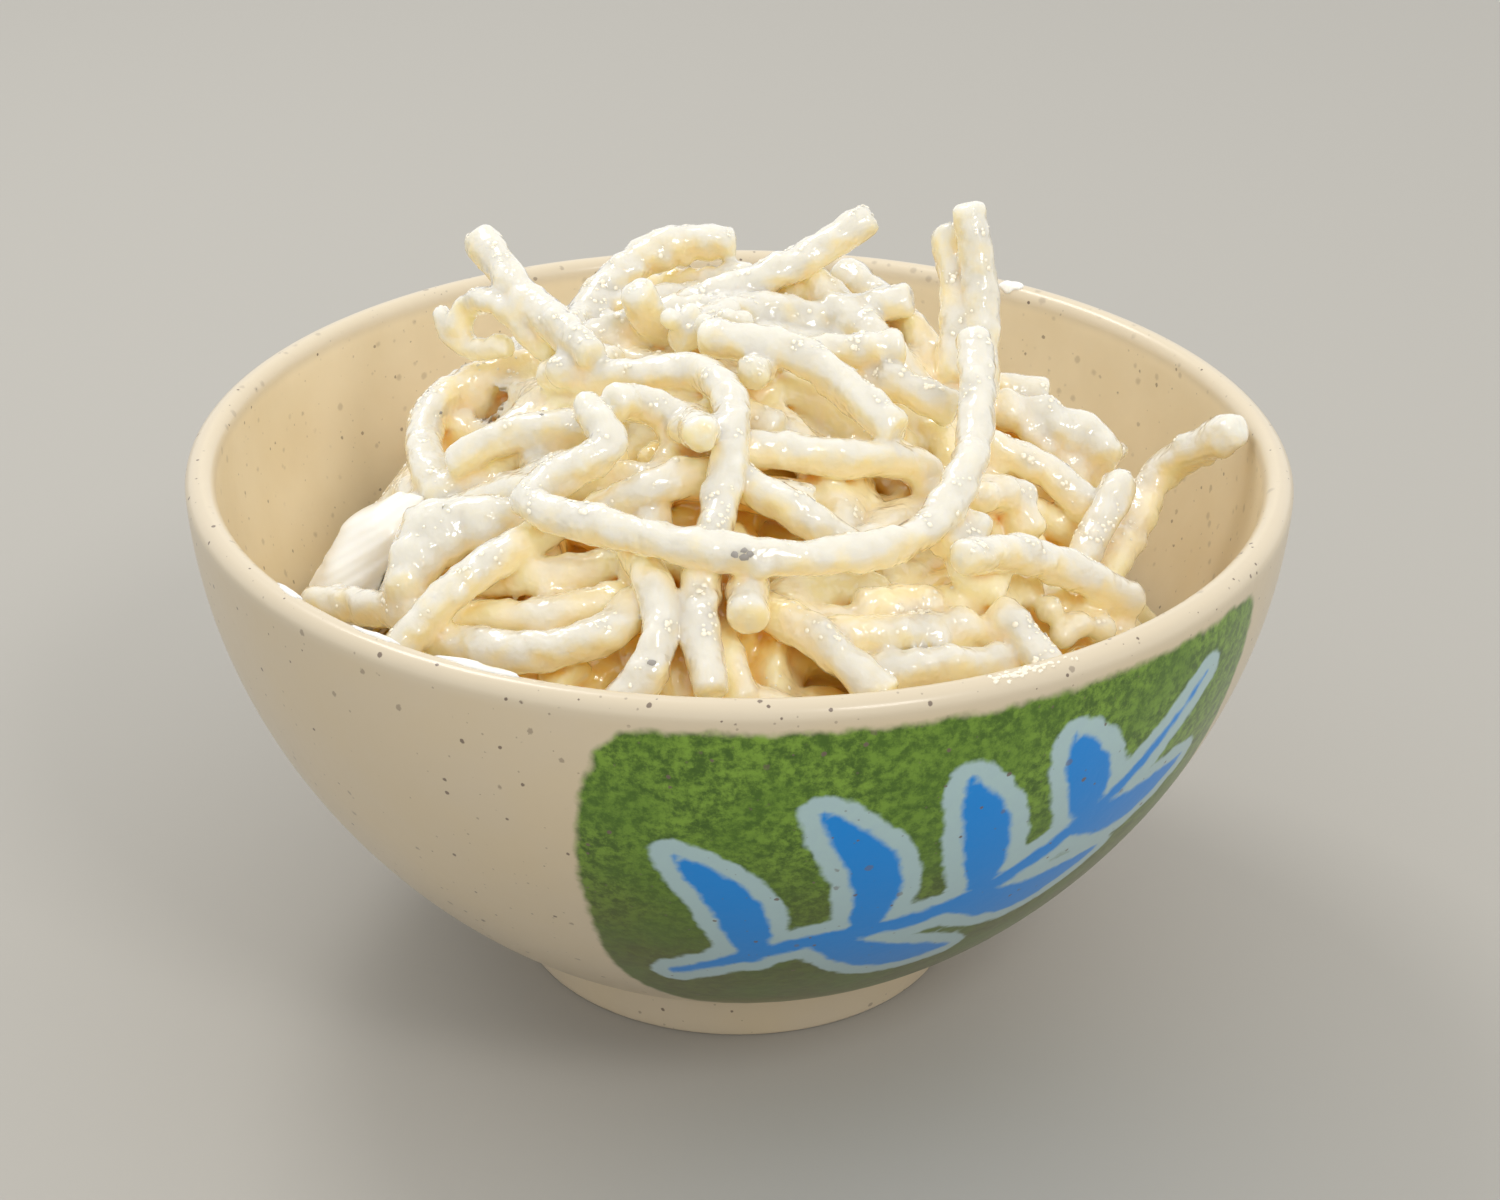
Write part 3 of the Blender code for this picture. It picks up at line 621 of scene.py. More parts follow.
# the waves of that: from and to how many radians per mm of its length, and their height against that
WAVES = [(0.15, 0.5, 1.5)] * 4 + [(0.7, 2.3, 0.8)] * 5
WAVE_SHARE = (0.5, 1.2)  # and how much of it each one has
FULL_TURN = 6.28
# the pale cut face of an end: its depth in mm, its radius and the run of its edge against the noodle's
FACE_DEPTH, FACE_RADIUS, FACE_EDGE = 0.5, 0.45, 0.3
PLAIN_COAT = 0.5
COATS = (0, 0.8)  # least and greatest coat of dressing on a noodle
CLOT_COAT = 1.1
CLOT_SEAT = 0.8  # where the middle of a lump sits, against the noodle's radius
UPWARD = (0, 0, 0.8)  # lumps gather on top
ASKEW = (0.13, 0.31, 0.94)  # a direction that no noodle follows
CLOT_MARGIN = 1.5
FAR_OFF = 4.0  # mm to the surface, wherever nothing is laid near


class Salad:
    """Distances to the surface of everything laid so far, with what the material needs to know."""

    def __init__(self, grid):
        self.grid = grid
        self.distance = np.full(grid.shape, FAR_OFF, np.float32)
        self.coat = np.full(grid.shape, PLAIN_COAT, np.float32)
        self.cut = np.zeros(grid.shape, np.float32)

    def merge(self, where, distance, coat, cut, blend):
        """Join a body to the rest, rounding where they meet."""
        there = self.distance[where]
        share = np.clip(0.5 + 0.5 * (there - distance) / blend, 0, 1)
        self.distance[where] = there + (distance - there) * share - blend * share * (1 - share)
        self.coat[where] += (coat - self.coat[where]) * share
        self.cut[where] += (cut - self.cut[where]) * share

    def lay(self, points, thickness, seed, lumps=1.0):
        """Lay one noodle along a curve: round, slightly uneven, with lumps of dressing and cut ends."""
        draw = np.random.default_rng(seed)
        radius = ROUND_SHARE * thickness / 2
        curve = smooth_line(points, CURVE_STEPS)
        lengths = np.linalg.norm(curve[1:] - curve[:-1], axis=1)
        total = lengths.sum()
        marks = np.concatenate([[0], np.cumsum(lengths)])
        count = max(4, int(total / LINK))
        at = np.linspace(0, total, count + 1)
        route = np.stack([np.interp(at, marks, curve[:, k]) for k in range(3)], -1)
        first, last = route[1] - route[0], route[-1] - route[-2]
        first, last = first / np.linalg.norm(first), last / np.linalg.norm(last)
        over = OVERHANG * radius
        beyond = over + radius
        route = np.concatenate([[route[0] - first * beyond], route, [route[-1] + last * beyond]])
        at = np.concatenate([[-beyond], at, [total + over + radius]])
        margin = radius + MARGIN
        where, x, y, z = self.grid.part(route.min(0) - margin, route.max(0) + margin)
        near = np.full(np.broadcast_shapes(x.shape, y.shape, z.shape), 1e3, np.float32)
        along = np.zeros(near.shape, np.float32)
        offset = np.array([c.start for c in where])
        for start, end, mark in zip(route[:-1], route[1:], at[:-1]):
            cut, sx, sy, sz = self.grid.part(np.minimum(start, end) - margin, np.maximum(start, end) + margin)
            local = tuple(slice(max(0, c.start - o), max(0, c.stop - o)) for c, o in zip(cut, offset))
            way = end - start
            length = np.linalg.norm(way)
            way = way / length
            px, py, pz = sx - start[0], sy - start[1], sz - start[2]
            run = np.clip(px * way[0] + py * way[1] + pz * way[2], 0, length)
            away = (px - run * way[0]) ** 2 + (py - run * way[1]) ** 2 + (pz - run * way[2]) ** 2
            shorter = away < near[local]
            near[local] = np.where(shorter, away, near[local])
            along[local] = np.where(shorter, mark + run, along[local])
        distance = np.sqrt(near) - radius
        close = np.abs(distance) < LUMP_BAND
        spot = np.argwhere(close)
        run = along[close]
        centre = np.stack([np.interp(run, at, route[:, k]) for k in range(3)], -1)
        tangent = np.gradient(route, axis=0)
        tangent = np.stack([np.interp(run, at, tangent[:, k]) for k in range(3)], -1)
        tangent /= np.linalg.norm(tangent, axis=1)[:, None]
        side = np.cross(tangent, ASKEW)
        side /= np.linalg.norm(side, axis=1)[:, None]
        rise = np.cross(side, tangent)
        place = np.stack([x[spot[:, 0], 0, 0], y[0, spot[:, 1], 0], z[0, 0, spot[:, 2]]], -1) - centre
        turn = np.arctan2((place * rise).sum(1), (place * side).sum(1))
        height = np.zeros(len(run))
        for slow, fast, tall in WAVES:
            pitch = draw.uniform(slow, fast)
            strength = LUMP_HEIGHT * tall * draw.uniform(*WAVE_SHARE)
            height += strength * np.sin(pitch * run + draw.integers(0, 4) * turn + draw.uniform(0, FULL_TURN))
        distance[close] -= height * lumps
        cut_face = np.zeros(distance.shape, np.float32)
        for end, way, near_end in ((route[0], -first, along < radius),
                                   (route[-1], last, along > total - radius)):
            lid = (x - end[0]) * way[0] + (y - end[1]) * way[1] + (z - end[2]) * way[2] + radius
            share = np.clip(0.5 + 0.5 * (distance - lid) / END_ROUNDING, 0, 1)
            closed = lid + (distance - lid) * share + END_ROUNDING * share * (1 - share)
            distance = np.where(near_end, closed, distance)
            face = np.clip(1 - (np.sqrt(near) - radius * FACE_RADIUS) / (radius * FACE_EDGE), 0, 1)
            face = np.clip(1 + lid / FACE_DEPTH, 0, 1) * face
            cut_face = np.where(near_end, np.maximum(cut_face, face), cut_face)
        self.merge(where, distance, np.float32(draw.uniform(*COATS)), cut_face, BLEND)
        for _ in range(int(CLOTS * total * lumps)):
            way = draw.normal(0, 1, 3) + UPWARD
            middle = route[draw.integers(2, len(route) - 2)] + way / np.linalg.norm(way) * radius * CLOT_SEAT
            self.drop(middle, draw.uniform(*CLOT_RADIUS) * lumps)

    def drop(self, middle, radius):
        """Set a lump of dressing on what is there."""
        middle = np.array(middle, float)
        where, x, y, z = self.grid.part(middle - radius - CLOT_MARGIN, middle + radius + CLOT_MARGIN)
        away = np.sqrt((x - middle[0]) ** 2 + (y - middle[1]) ** 2 + (z - middle[2]) ** 2) - radius
        self.merge(where, away, np.float32(CLOT_COAT), np.float32(0), CLOT_BLEND)

    def cut_back(self, distance):
        """Take away all that lies where the distance is above nothing."""
        self.distance = np.maximum(self.distance, distance).astype(np.float32)


def surface(grid, distance):
    """Points and four-sided faces of the surface where the distance is nothing."""
    inside = distance < 0
    size = np.array(grid.shape) - 1
    corners = [np.array([i & 1, i >> 1 & 1, i >> 2 & 1]) for i in range(8)]
    count = np.zeros(size, np.int8)
    for corner in corners:
        count += inside[tuple(slice(c, c + s) for c, s in zip(corner, size))]
    mixed = (count > 0) & (count < 8)
    cells = np.argwhere(mixed)
    index = np.full(size, -1, np.int64)
    index[mixed] = np.arange(len(cells))
    total = np.zeros((len(cells), 3))
    hits = np.zeros((len(cells), 1))
    for a in range(8):
        for axis in range(3):
            b = a | 1 << axis
            if b == a:
                continue
            value_a = distance[tuple((cells + corners[a]).T)]
            value_b = distance[tuple((cells + corners[b]).T)]
            crossed = ((value_a < 0) != (value_b < 0))[:, None]
            share = (value_a / np.where(value_a == value_b, 1, value_a - value_b))[:, None]
            total += np.where(crossed, corners[a] + share * (corners[b] - corners[a]), 0)
            hits += crossed
    verts = grid.low + grid.step * (cells + total / hits)
    quads = []
    for axis in range(3):
        step = np.eye(3, dtype=int)[axis]
        start = inside[tuple(slice(1 - s, n) for s, n in zip(step, size))]
        end = inside[tuple(slice(1, n + s) for s, n in zip(step, size))]
        edges = np.argwhere(start != end) + (1 - step)
        u, w = np.eye(3, dtype=int)[(axis + 1) % 3], np.eye(3, dtype=int)[(axis + 2) % 3]
        faces = np.stack([index[tuple((edges - o).T)] for o in (0 * u, u, u + w, w)], -1)
        outward = inside[tuple(edges.T)]
        quads.append(np.where(outward[:, None], faces, faces[:, ::-1]))
    return verts, np.concatenate(quads)


def largest_body(verts, quads):
    """The largest of the bodies, without the loose crumbs."""
    edges = np.concatenate([quads[:, [k, (k + 1) % 4]] for k in range(4)])
    label = np.arange(len(verts))
    while True:
        low = np.minimum(label[edges[:, 0]], label[edges[:, 1]])
        new = label.copy()
        np.minimum.at(new, edges[:, 0], low)
        np.minimum.at(new, edges[:, 1], low)
        new = new[new]
        if (new == label).all():
            break
        label = new
    keep = label == np.bincount(label).argmax()
    renumber = np.cumsum(keep) - 1
    return verts[keep], renumber[quads[keep[quads[:, 0]]]]


def relaxed(verts, quads, rounds, strength):
    """Even out the points, each moved towards the middle of its neighbours."""
    edges = np.concatenate([quads[:, [k, (k + 1) % 4]] for k in range(4)])
    a, b = edges[:, 0], edges[:, 1]
    degree = np.maximum(np.bincount(a, minlength=len(verts)) + np.bincount(b, minlength=len(verts)), 1)
    for _ in range(rounds):
        middle = np.stack([np.bincount(a, verts[b, k], len(verts)) + np.bincount(b, verts[a, k], len(verts))
                           for k in range(3)], -1) / degree[:, None]
        verts = verts + strength * (middle - verts)
    return verts


def read_rows(items, name, kind=float):
    """Three numbers for each item of a mesh, as rows."""
    values = np.empty(len(items) * 3, kind)
    items.foreach_get(name, values)
    return values.reshape(-1, 3)


SAMPLE_STEP = 0.42
HEAP_LOW, HEAP_HIGH = (-59, -60, 36.0), (61, 57, 92)
HEAP_BOTTOM = HEAP_LOW[2] + 1
EVERYWHERE = ((-99, -99, -99), (999, 999, 999))
CORE_SLOPE = 0.7  # the way to the sloping core against the height above it
FIRST_SEED = 100
WALL_GAP = 0.35
EVEN_OUT = 0.5  # how far a point moves to the middle of its neighbours, each round
grid = Grid(HEAP_LOW, HEAP_HIGH, SAMPLE_STEP)
salad = Salad(grid)
_, x, y, z = grid.part(*EVERYWHERE)
core = CORE_SLOPE * (z - core_height(x, y) + CORE_DROP)
salad.distance = np.minimum(salad.distance, core).astype(np.float32)
for seed, (thickness, points) in enumerate(buried_noodles() + spread_noodles(), FIRST_SEED):
    salad.lay(points, thickness, seed)
eye = np.array(CAMERA_PLACE) / MM
salad.cut_back(np.minimum(*[(x - eye[0]) * a + (y - eye[1]) * b + (z - eye[2]) * c for a, b, c in BARE_WALL]))
middle, radius = LOOP_GAP
salad.cut_back(radius - np.sqrt((x - middle[0]) ** 2 + (y - middle[1]) ** 2 + (z - middle[2]) ** 2))
for seed, (thickness, lumps, *points) in enumerate(SHOWN_NOODLES.values(), seed + 1):
    salad.lay(points, thickness, seed, lumps)
for *middle, radius in SINGLE_CLOTS:
    salad.drop(middle, radius)
salad.cut_back(np.where(z > RIM_HEIGHT, -9, np.hypot(x, y) - inner_radius(z) + WALL_GAP))
salad.cut_back(HEAP_BOTTOM - z)
verts, quads = largest_body(*surface(grid, salad.distance))
verts = relaxed(verts, quads, 2, EVEN_OUT)

FINE_LUMPS = ((0.4, 0.2), (0.85, 0.12))  # per mm, and height in mm
heap_mesh = mesh_from_arrays("noodles", verts, quads.tolist())
push = sum(tall * np.array([noise.noise(Vector(v)) for v in (verts * rate).tolist()])
           for rate, tall in FINE_LUMPS)
verts = verts + read_rows(heap_mesh.vertex_normals, "vector") * push[:, None]
heap_mesh.vertices.foreach_set("co", (verts * MM).astype(np.float32).ravel())
heap_mesh.update()
MOST_TRIANGLES = 196000
item = add_object("shaping", heap_mesh)
fewer = item.modifiers.new("fewer", 'DECIMATE')
fewer.ratio = min(1.0, MOST_TRIANGLES / (2 * len(quads)))
bpy.context.view_layer.update()
final = bpy.data.meshes.new_from_object(item.evaluated_get(bpy.context.evaluated_depsgraph_get()))
bpy.data.objects.remove(item)
final.name = "noodles"
heap_points, normals = read_rows(final.vertices, "co") / MM, read_rows(final.vertex_normals, "vector")
heap_faces = [tuple(face.vertices) for face in final.polygons]


def closeness(grid, inside, reach):
    """How much of the space round each sample is filled."""
    filled = inside.astype(np.float32)
    wide = int(round(reach / grid.step))
    for axis in (0, 1, 2) * 2:
        total = np.cumsum(np.pad(filled, [(wide + 1, wide) if k == axis else (0, 0) for k in range(3)],
                                 mode='edge'), axis=axis)
        size = filled.shape[axis]
        ahead = np.take(total, np.arange(2 * wide + 1, 2 * wide + 1 + size), axis=axis)
        behind = np.take(total, np.arange(size), axis=axis)
        filled = (ahead - behind) / (2 * wide + 1)
    return filled


FADE = 3.0  # mm of noodle that light from above goes through before most of it is lost
SKY_TILTS = (0, 35, 60)  # degrees from straight up
SKY_TURNS = 6


def daylight(grid, solid):
    """Share of the light from above that reaches each sample, through the noodles as well as past them."""
    kept = np.where(solid, math.exp(-grid.step / FADE), 1.0).astype(np.float32)
    total = np.zeros(grid.shape, np.float32)
    ways = [(tilt, turn) for tilt in SKY_TILTS for turn in range(SKY_TURNS if tilt else 1)]
    for tilt, turn in ways:
        lean = math.tan(math.radians(tilt))
        angle = 2 * math.pi * turn / SKY_TURNS
        light = np.ones(grid.shape[:2], np.float32)
        moved = (0, 0)
        for layer in range(grid.shape[2] - 1, -1, -1):
            down = (grid.shape[2] - 1 - layer) * lean
            goal = (round(down * math.cos(angle)), round(down * math.sin(angle)))
            light = np.roll(light, (goal[0] - moved[0], goal[1] - moved[1]), (0, 1))
            moved = goal
            total[:, :, layer] += light
            light = light * kept[:, :, layer]
    return total / len(ways)


NEAR_REACH = 1.6  # mm off the surface where the room round it is measured
LIT_REACH = 0.6  # and the light on it
CUT_DEPTH = 0.3  # mm under the surface where its cut ends are read
near = grid.sample(closeness(grid, salad.distance < 0, NEAR_REACH), heap_points + normals * NEAR_REACH)
lit = grid.sample(daylight(grid, salad.distance < 0), heap_points + normals * LIT_REACH)
for name, values in (("near", near), ("lit", lit), ("coat", grid.sample(salad.coat, heap_points)),
                     ("cut", grid.sample(salad.cut, heap_points - normals * CUT_DEPTH))):
    write_attribute(final, name, values)

# Cooked wheat noodle, turned in cream dressing: translucent starch under a wet film. Light goes a few
# millimetres in, so the eye sees it glow warm where noodles lie close, with small sharp glints on the film.
# That warm glow is also painted into its colour, as painted light in its shade and gaps.
# CREAM is the film, painted darker than the dressing's white to hold down the light on the tops. In the shade
# the noodle is painted a brighter, deeper wheat, and honey yellow deep in the gaps and where noodles lie
# close: painted light that stands in for light coming through the noodles.
CREAM, CUT_FACE = "#dad6cb", "#dde1d8"
WHEAT, SHADE_GLOW_WHEAT, GAP_GLOW_HONEY = "#e8d8a8", "#fdebc0", "#fdca4e"
coated = new_material("cooked_noodle_in_cream_dressing")
tree = coated.node_tree
place = add_node(tree, "TexCoord").outputs["Object"]
patches, clusters, wet = (
    add_node(tree, "TexNoise", {"Vector": place, "Scale": per_metre(size), "Detail": detail})
    for size, detail in ((3.2, 4.0), (3.0, 2.0), (1.6, 3.0)))
lit_here, near_here, coat_here, cut_here = (
    add_node(tree, "Attribute", attribute_name=name).outputs["Fac"]
    for name in ("lit", "near", "coat", "cut"))
normal = add_node(tree, "NewGeometry").outputs["Normal"]
facing_up = add_node(tree, "SeparateXYZ", (normal,)).outputs["Z"]
# the film of dressing is thicker on top, and its white on what faces up is partly painted light from above;
# it is thicker in patches too, and where a noodle took more of it: each value, what is taken off it, and its
# weight
film = 0.0
for value, less, weight in ((facing_up, 0.0, 0.7), (patches, 0.5, 1.7), (coat_here, -0.5, 0.35)):
    part = add_node(tree, "Math", (value, less), operation='SUBTRACT')
    part = add_node(tree, "Math", (part, weight), operation='MULTIPLY')
    film = add_node(tree, "Math", (film, part), operation='ADD')
# painted light and shade: the brighter wheat where less light from above comes, and honey yellow where little
# comes and where noodles lie close
skin = painted(tree, WHEAT, (CREAM, film, 0.0, 0.9), (SHADE_GLOW_WHEAT, lit_here, 0.93, 0.55, 0.0, 1.0),
               (GAP_GLOW_HONEY, lit_here, 0.6, 0.25, 0.0, 0.9), (GAP_GLOW_HONEY, near_here, 0.66, 0.88, 0.0, 0.9),
               (CUT_FACE, cut_here, 0.2, 0.9, 0.0, 0.8))
# clusters of fine drops, drawn 1.1 mm apart, coarser than the real ones, so that they show, and a wet ripple
domes = add_node(tree, "TexVoronoi", {"Vector": place, "Scale": per_metre(1.1), "Smoothness": 0.6},
                 feature='SMOOTH_F1')
domes = add_node(tree, "Math", (0.6, domes), operation='SUBTRACT')
clusters = add_node(tree, "MapRange", (clusters, 0.42, 0.62), **SMOOTH)
domes = add_node(tree, "Math", (domes, clusters), operation='MULTIPLY')
wet = add_node(tree, "Math", (wet, 0.5), operation='MULTIPLY')
relief = add_node(tree, "Math", (domes, wet), operation='ADD')
bump = add_node(tree, "Bump", {"Height": relief, "Strength": 0.4, "Distance": 0.0006})
fill_inputs(tree.nodes["Principled BSDF"],
            {"Base Color": skin, "Subsurface Weight": 1.0, "Subsurface Radius": (1.0, 0.97, 0.8),
             "Subsurface Scale": 0.003, "Roughness": 0.2, "Coat Weight": 1.0, "Coat Roughness": 0.04,
             "Normal": bump, "Coat Normal": bump})
noodles = object_from_mesh("noodles", final, coated)
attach(noodles, "root")
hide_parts("pasta_heap")

# Beads: small drops of oil and whey that stand in clusters along the tops of the dressed noodles, lightly
# stuck to the film. They are too fine for the noodles' own mesh, are drawn 0.3 to 0.8 mm across, as coarse as
# they need to be to show, and give the salad its many small glints.
BEAD_COUNT = 2300
BEAD_TRIES = 5  # places tried for each one kept
BEAD_SEED = 12
BEAD_RADIUS = (0.15, 0.38)
BEAD_HEIGHT = 0.34  # against its radius
BEAD_SIDES = 7
BEAD_ASKEW = (0.31, 0.17, 0.93)
BEAD_RINGS = ((1.0, -0.2), (0.72, 0.62))  # their radius and height, against the bead's
CLUSTER_RATE = 0.34  # per mm
FACING = (0.15, 0.5)  # how far up a place has to face to get any, and the run to where it gets them all
LIT_ENOUGH = (0.5, 0.3)  # and how well lit it has to be
draw = np.random.default_rng(BEAD_SEED)
noodles.data.calc_loop_triangles()
corners = read_rows(noodles.data.loop_triangles, "vertices", np.int32)
points = heap_points[corners]
crosses = np.cross(points[:, 1] - points[:, 0], points[:, 2] - points[:, 0])
areas = np.linalg.norm(crosses, axis=1) / 2
likely = areas
for value, (least, run) in ((crosses[:, 2] / (2 * areas + 1e-9), FACING),
                            (lit[corners].mean(1), LIT_ENOUGH)):
    likely = likely * np.clip((value - least) / run, 0, 1)
tries = draw.choice(len(corners), BEAD_COUNT * BEAD_TRIES, p=likely / likely.sum())
shares = draw.dirichlet((1, 1, 1), len(tries))
spots = (points[tries] * shares[:, :, None]).sum(1)
ways = crosses[tries] / (2 * areas[tries, None])
thick = np.array([noise.noise(Vector(spot)) for spot in (spots * CLUSTER_RATE).tolist()])
chosen = np.argsort(thick)[::-1][:BEAD_COUNT]
spots, ways = spots[chosen], ways[chosen]
sizes = BEAD_RADIUS[0] + (BEAD_RADIUS[1] - BEAD_RADIUS[0]) * draw.random(BEAD_COUNT) ** 2
sides = np.cross(ways, BEAD_ASKEW)
sides /= np.linalg.norm(sides, axis=1)[:, None]
others = np.cross(ways, sides)
turns = np.arange(BEAD_SIDES) * 2 * math.pi / BEAD_SIDES
rings = []
for reach, rise in BEAD_RINGS:
    out = (sides[:, None] * np.cos(turns)[:, None] + others[:, None] * np.sin(turns)[:, None]) * reach
    rings.append(spots[:, None] + (out + ways[:, None] * rise * BEAD_HEIGHT) * sizes[:, None, None])
tops = spots + ways * (BEAD_HEIGHT * sizes)[:, None]
each = np.concatenate([rings[0], rings[1], tops[:, None]], 1)
pattern = []
for side, after in once_round(BEAD_SIDES):
    pattern += [(side, after, BEAD_SIDES + after), (side, BEAD_SIDES + after, BEAD_SIDES + side),
                (BEAD_SIDES + side, BEAD_SIDES + after, 2 * BEAD_SIDES)]
faces = (np.array(pattern)[None] + (np.arange(BEAD_COUNT) * each.shape[1])[:, None, None]).reshape(-1, 3)
# Oil and whey, beaded on the dressing: nearly white and very glossy, so that each drop gives one small glint.
DROP = "#f4ecd8"
drops = new_material("oil_and_whey_drops", {
    "Base Color": DROP, "Roughness": 0.1, "Coat Weight": 1.0, "Coat Roughness": 0.03})


def object_from_arrays(name, verts, faces, material):
    """An object from points in mm."""
    return object_from_mesh(name, mesh_from_arrays(name, verts * MM, faces), material)


beads = object_from_arrays("beads", each.reshape(-1, 3), faces.tolist(), drops)
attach(beads, "root")

# The dollop: a spoonful of thick white dressing, dropped on the noodles' left side, that slid down against
# the wall and stays there by its own stiffness. It is smooth, folded over a soft ridge, and drawn into
# faint lines where the spoon left it.
DOLLOP_MIDDLE = np.array((-41.7, -16.6, 55.5))
DOLLOP_SIZE = np.array((6.2, 7.9, 9.8))
DOLLOP_RIGHT = 7.6  # its half length towards the noodles
DOLLOP_POINTED = 1.72  # 2 for an egg, less for one drawn to its ends
DOLLOP_STEP = 0.25
DOLLOP_LEAN = 0.37  # how far its top leans towards the noodles, for each mm of height
DOLLOP_ACROSS = (0.75, 0.65)  # which way the spoon's lines follow each other, up and to the left
DOLLOP_ROOM = ((11, 10, 12), (13, 10, 12))  # mm round its middle that hold it
DOLLOP_DEPTH = 6.5  # mm from its middle to its surface, near enough
DOLLOP_WALL_GAP = 0.3
lump_grid = Grid(DOLLOP_MIDDLE - DOLLOP_ROOM[0], DOLLOP_MIDDLE + DOLLOP_ROOM[1], DOLLOP_STEP)
_, x, y, z = lump_grid.part(*EVERYWHERE)
dx, dy, dz = x - DOLLOP_MIDDLE[0], y - DOLLOP_MIDDLE[1], z - DOLLOP_MIDDLE[2]
dx = dx - DOLLOP_LEAN * dz
across = dz * DOLLOP_ACROSS[0] - dx * DOLLOP_ACROSS[1]
dx = np.where(dx > 0, dx * DOLLOP_SIZE[0] / DOLLOP_RIGHT, dx)
lump = sum(np.abs(d / size) ** DOLLOP_POINTED for d, size in zip((dx, dy, dz), DOLLOP_SIZE))
lump = (lump ** (1 / DOLLOP_POINTED) - 1) * DOLLOP_DEPTH
# faint lines where the spoon drew it out, and soft broad folds: heights in mm, waves in radians per mm
lump = lump - 0.07 * np.sin(across * 2.7 + 1.3 * np.sin(dy * 0.7)) - 0.05 * np.sin(across * 5.3 + dy * 1.1)
lump = lump - 0.35 * np.sin(dz * 0.6 + dx * 0.5) * np.sin(dy * 0.5 + 1.0)
lump = lump - 0.3 * np.sin(dx * 0.45 - dy * 0.4 + 0.6)
places = np.stack(np.broadcast_arrays(x, y, z), -1).reshape(-1, 3)
taken = grid.sample(salad.distance, places).reshape(lump_grid.shape)
wall = np.hypot(x, y) - inner_radius(z) + DOLLOP_WALL_GAP
lump = np.maximum(np.maximum(lump, wall), -taken)
verts, quads = largest_body(*surface(lump_grid, lump))
verts = relaxed(verts, quads, 3, EVEN_OUT)
# Thick cream dressing, spooned on: white, dense and satin. Light goes just under its surface, so the eye sees
# soft shade in its folds and one broad glint.
CREAM_WHITE = "#f4f1ea"
cream = new_material("thick_cream_dressing_spooned", {
    "Base Color": CREAM_WHITE, "Subsurface Weight": 1.0, "Subsurface Radius": (1.0, 0.95, 0.85),
    "Subsurface Scale": 0.001, "Roughness": 0.28, "Coat Weight": 0.6, "Coat Roughness": 0.12})
dollop = object_from_arrays("dollop", verts, quads.tolist(), cream)
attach(dollop, "root")
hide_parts("dressing_dollop")

# Smears: thin, glossy, uneven films of the thick dressing that the spoon wiped off on the lip as it was
# turned. They cling to the round of the lip.
SMEAR_SEED = 5
# each as degrees round from the front, its half width there, degrees up from the lip's inner side, its half
# width there, and its thickness in mm
SMEARS = [(-25, 4.6, 52, 30, 0.55), (-37, 3.0, 60, 20, 0.35), (144.7, 1.5, 66, 34, 0.45),
          (-50, 2.5, 60, 18, 0.3)]
EDGE_WAVES = ((2, 0.18), (3, 0.14), (5, 0.1))  # round each film: how many, and how far they move its edge
FILM_SINK = 0.05  # mm that a film's edge lies under the glaze
FILM_WAVE = 0.25
draw = random.Random(SMEAR_SEED)


def lip_films(films, sides, rings):
    """Points and faces of low mounds that follow the round of the lip."""
    verts, faces = [], []
    for around_lip, half_around, up, half_up, thick in films:
        first = len(verts)
        phases = [draw.uniform(0, FULL_TURN) for _ in EDGE_WAVES]
        for ring in range(rings + 1):
            share = ring / rings
            for side in range(sides if ring else 1):
                turn = 2 * math.pi * side / sides
                edge = 1
                for (count, far), phase in zip(EDGE_WAVES, phases):
                    edge += far * math.sin(count * turn + phase)
                angle = math.radians(around_lip + half_around * share * edge * math.cos(turn))
                lip_turn = math.radians(180 - up + half_up * share * edge * math.sin(turn))
                rise = thick * math.sqrt(max(0.0, 1 - share ** 3)) - FILM_SINK
                rise *= 1 + FILM_WAVE * math.sin(4 * share + turn + phases[0])
                radius = RIM_RADIUS - WALL / 2 + (WALL / 2 + rise) * math.cos(lip_turn)
                verts.append((radius * math.sin(angle), -radius * math.cos(angle),
                              LIP_HEIGHT + (WALL / 2 + rise) * math.sin(lip_turn)))
        for side, after in once_round(sides):
            faces.append((first, first + 1 + side, first + 1 + after))
            for ring in range(rings - 1):
                low, high = first + 1 + ring * sides, first + 1 + (ring + 1) * sides
                faces.append((low + side, high + side, high + after, low + after))
    return np.array(verts), faces


smears = object_from_arrays("smears", *lip_films(SMEARS, 40, 10), cream)
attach(smears, "root")

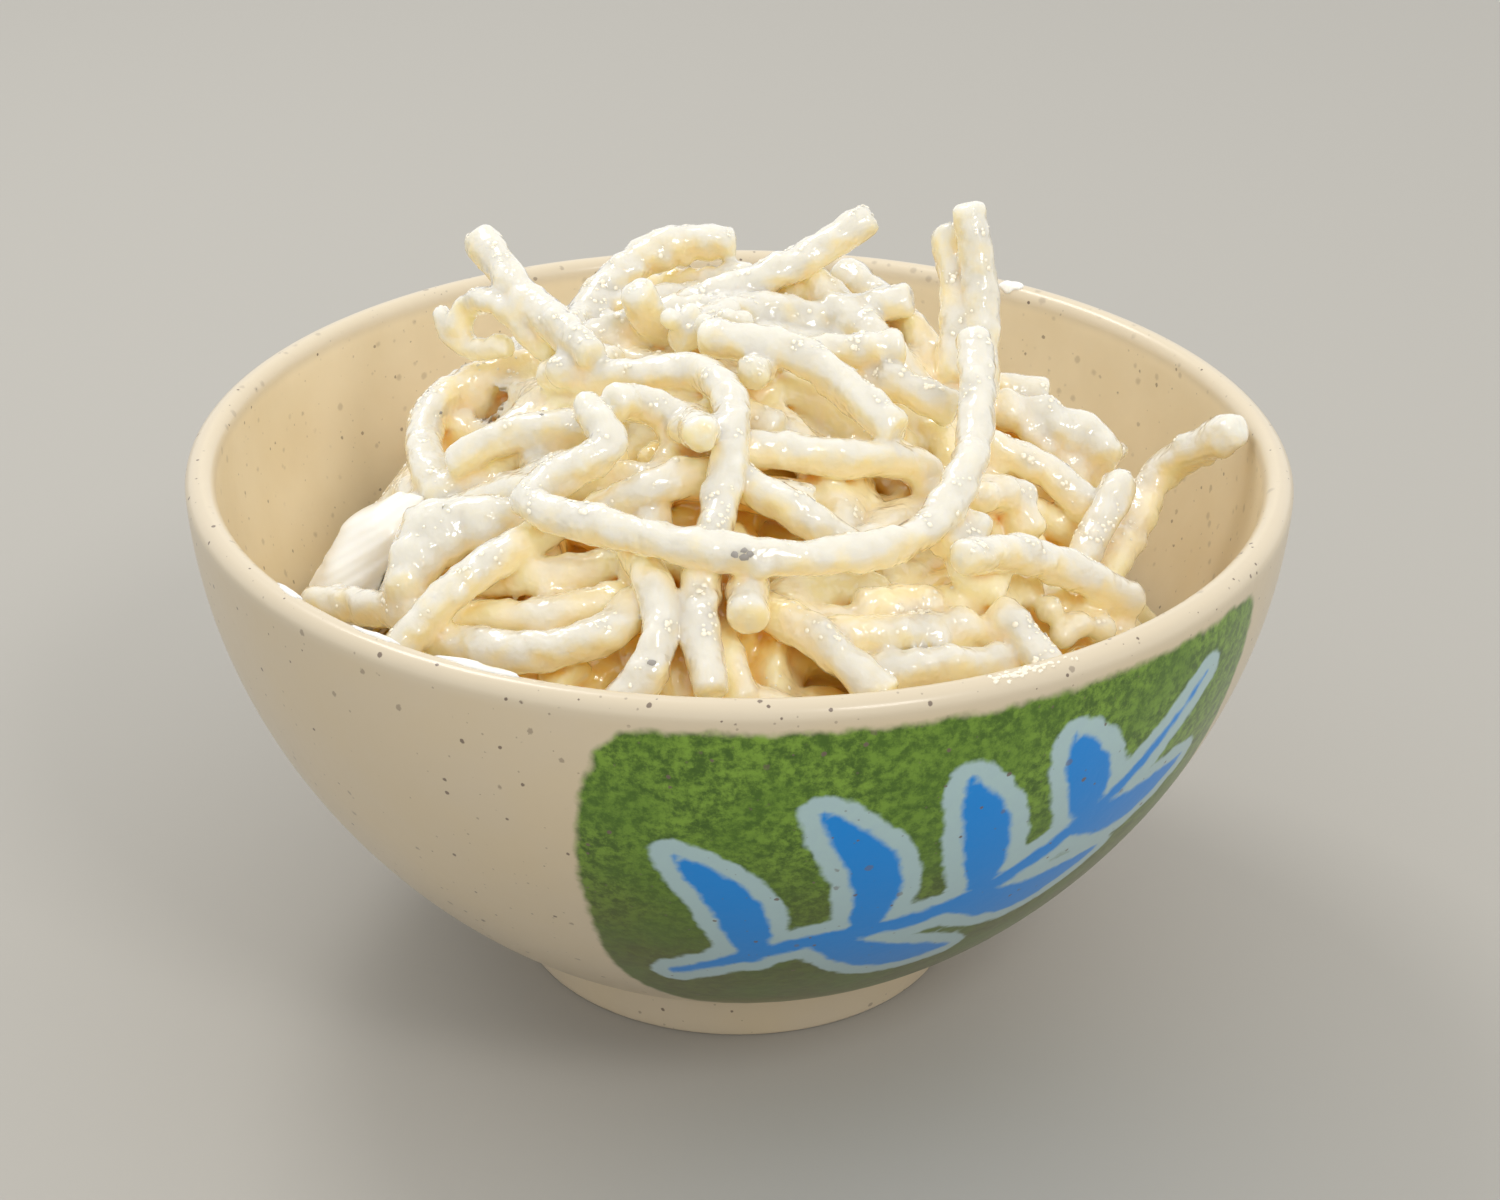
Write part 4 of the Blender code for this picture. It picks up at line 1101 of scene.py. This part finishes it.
# Lip drops: tiny drops of the dressing's oil and whey, spattered on the lip over the green panel and left to
# dry there. They are seen only by their glints.
LIP_DROPS = 44
DROPS_AROUND, DROPS_UP = (26.6, 2.4), (103, 11)  # degrees as for the smears: the middle, and the spread
DROP_HALVES, DROP_THICK = ((0.15, 0.4), (4, 10)), (0.14, 0.2)
spatter = [(draw.gauss(*DROPS_AROUND), draw.uniform(*DROP_HALVES[0]), draw.gauss(*DROPS_UP),
            draw.uniform(*DROP_HALVES[1]), draw.uniform(*DROP_THICK)) for _ in range(LIP_DROPS)]
lip_drops = object_from_arrays("lip_drops", *lip_films(spatter, 10, 4), drops)
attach(lip_drops, "root")

# Flecks: flakes of crushed peppercorn, stirred into the dressing and held by its film, a few of which show
# on the noodles.
FLECK_SIDES, FLECK_UNEVEN = 9, (0.75, 1.1)
FLECK_RISE, FLECK_SINK = 0.18, 0.06  # mm that its middle stands over the noodle, and its edge lies under
# each as the place that it lies nearest to, its length and its width in mm
FLECKS = [(-0.5, -44, 72, 1.2, 0.8), (0.4, -44, 71.5, 1.3, 0.9), (1.3, -44, 72, 1.1, 0.8),
    (0.4, -44, 72.8, 1, 0.7), (-19.1, -33.1, 73.5, 0.9, 0.6), (-15.4, -22.9, 74.5, 1, 0.7),
    (-8.7, -52, 63.9, 1.1, 0.8), (-31.9, -3.8, 70, 0.7, 0.5), (-22.1, -13.7, 75, 0.8, 0.5),
    (12, 20, 80, 0.9, 0.6), (-18, 30, 74, 0.8, 0.5)]
heap = BVHTree.FromPolygons([tuple(v) for v in heap_points.tolist()], heap_faces)
verts, faces = [], []
for *spot, long, wide in FLECKS:
    middle, normal, _, _ = heap.find_nearest(Vector(spot))
    side = Vector((1, draw.uniform(-0.5, 0.5), 0))
    side = (side - normal * side.dot(normal)).normalized()
    other = normal.cross(side)
    first = len(verts)
    verts.append(tuple(middle + normal * FLECK_RISE))
    for corner, after in once_round(FLECK_SIDES):
        turn = 2 * math.pi * corner / FLECK_SIDES
        uneven = draw.uniform(*FLECK_UNEVEN) / 2
        out = (side * long * math.cos(turn) + other * wide * math.sin(turn)) * uneven
        verts.append(tuple(middle + out - normal * FLECK_SINK))
        faces.append((first, first + 1 + corner, first + 1 + after))
# Peppercorn, crushed: dry and matt, and greyed by the film over it, so the eye sees small soft dark points.
PEPPER = "#98938d"
pepper = new_material("crushed_peppercorn", {"Base Color": PEPPER, "Roughness": 0.5})
flecks = object_from_arrays("flecks", np.array(verts), faces, pepper)
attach(flecks, "root")
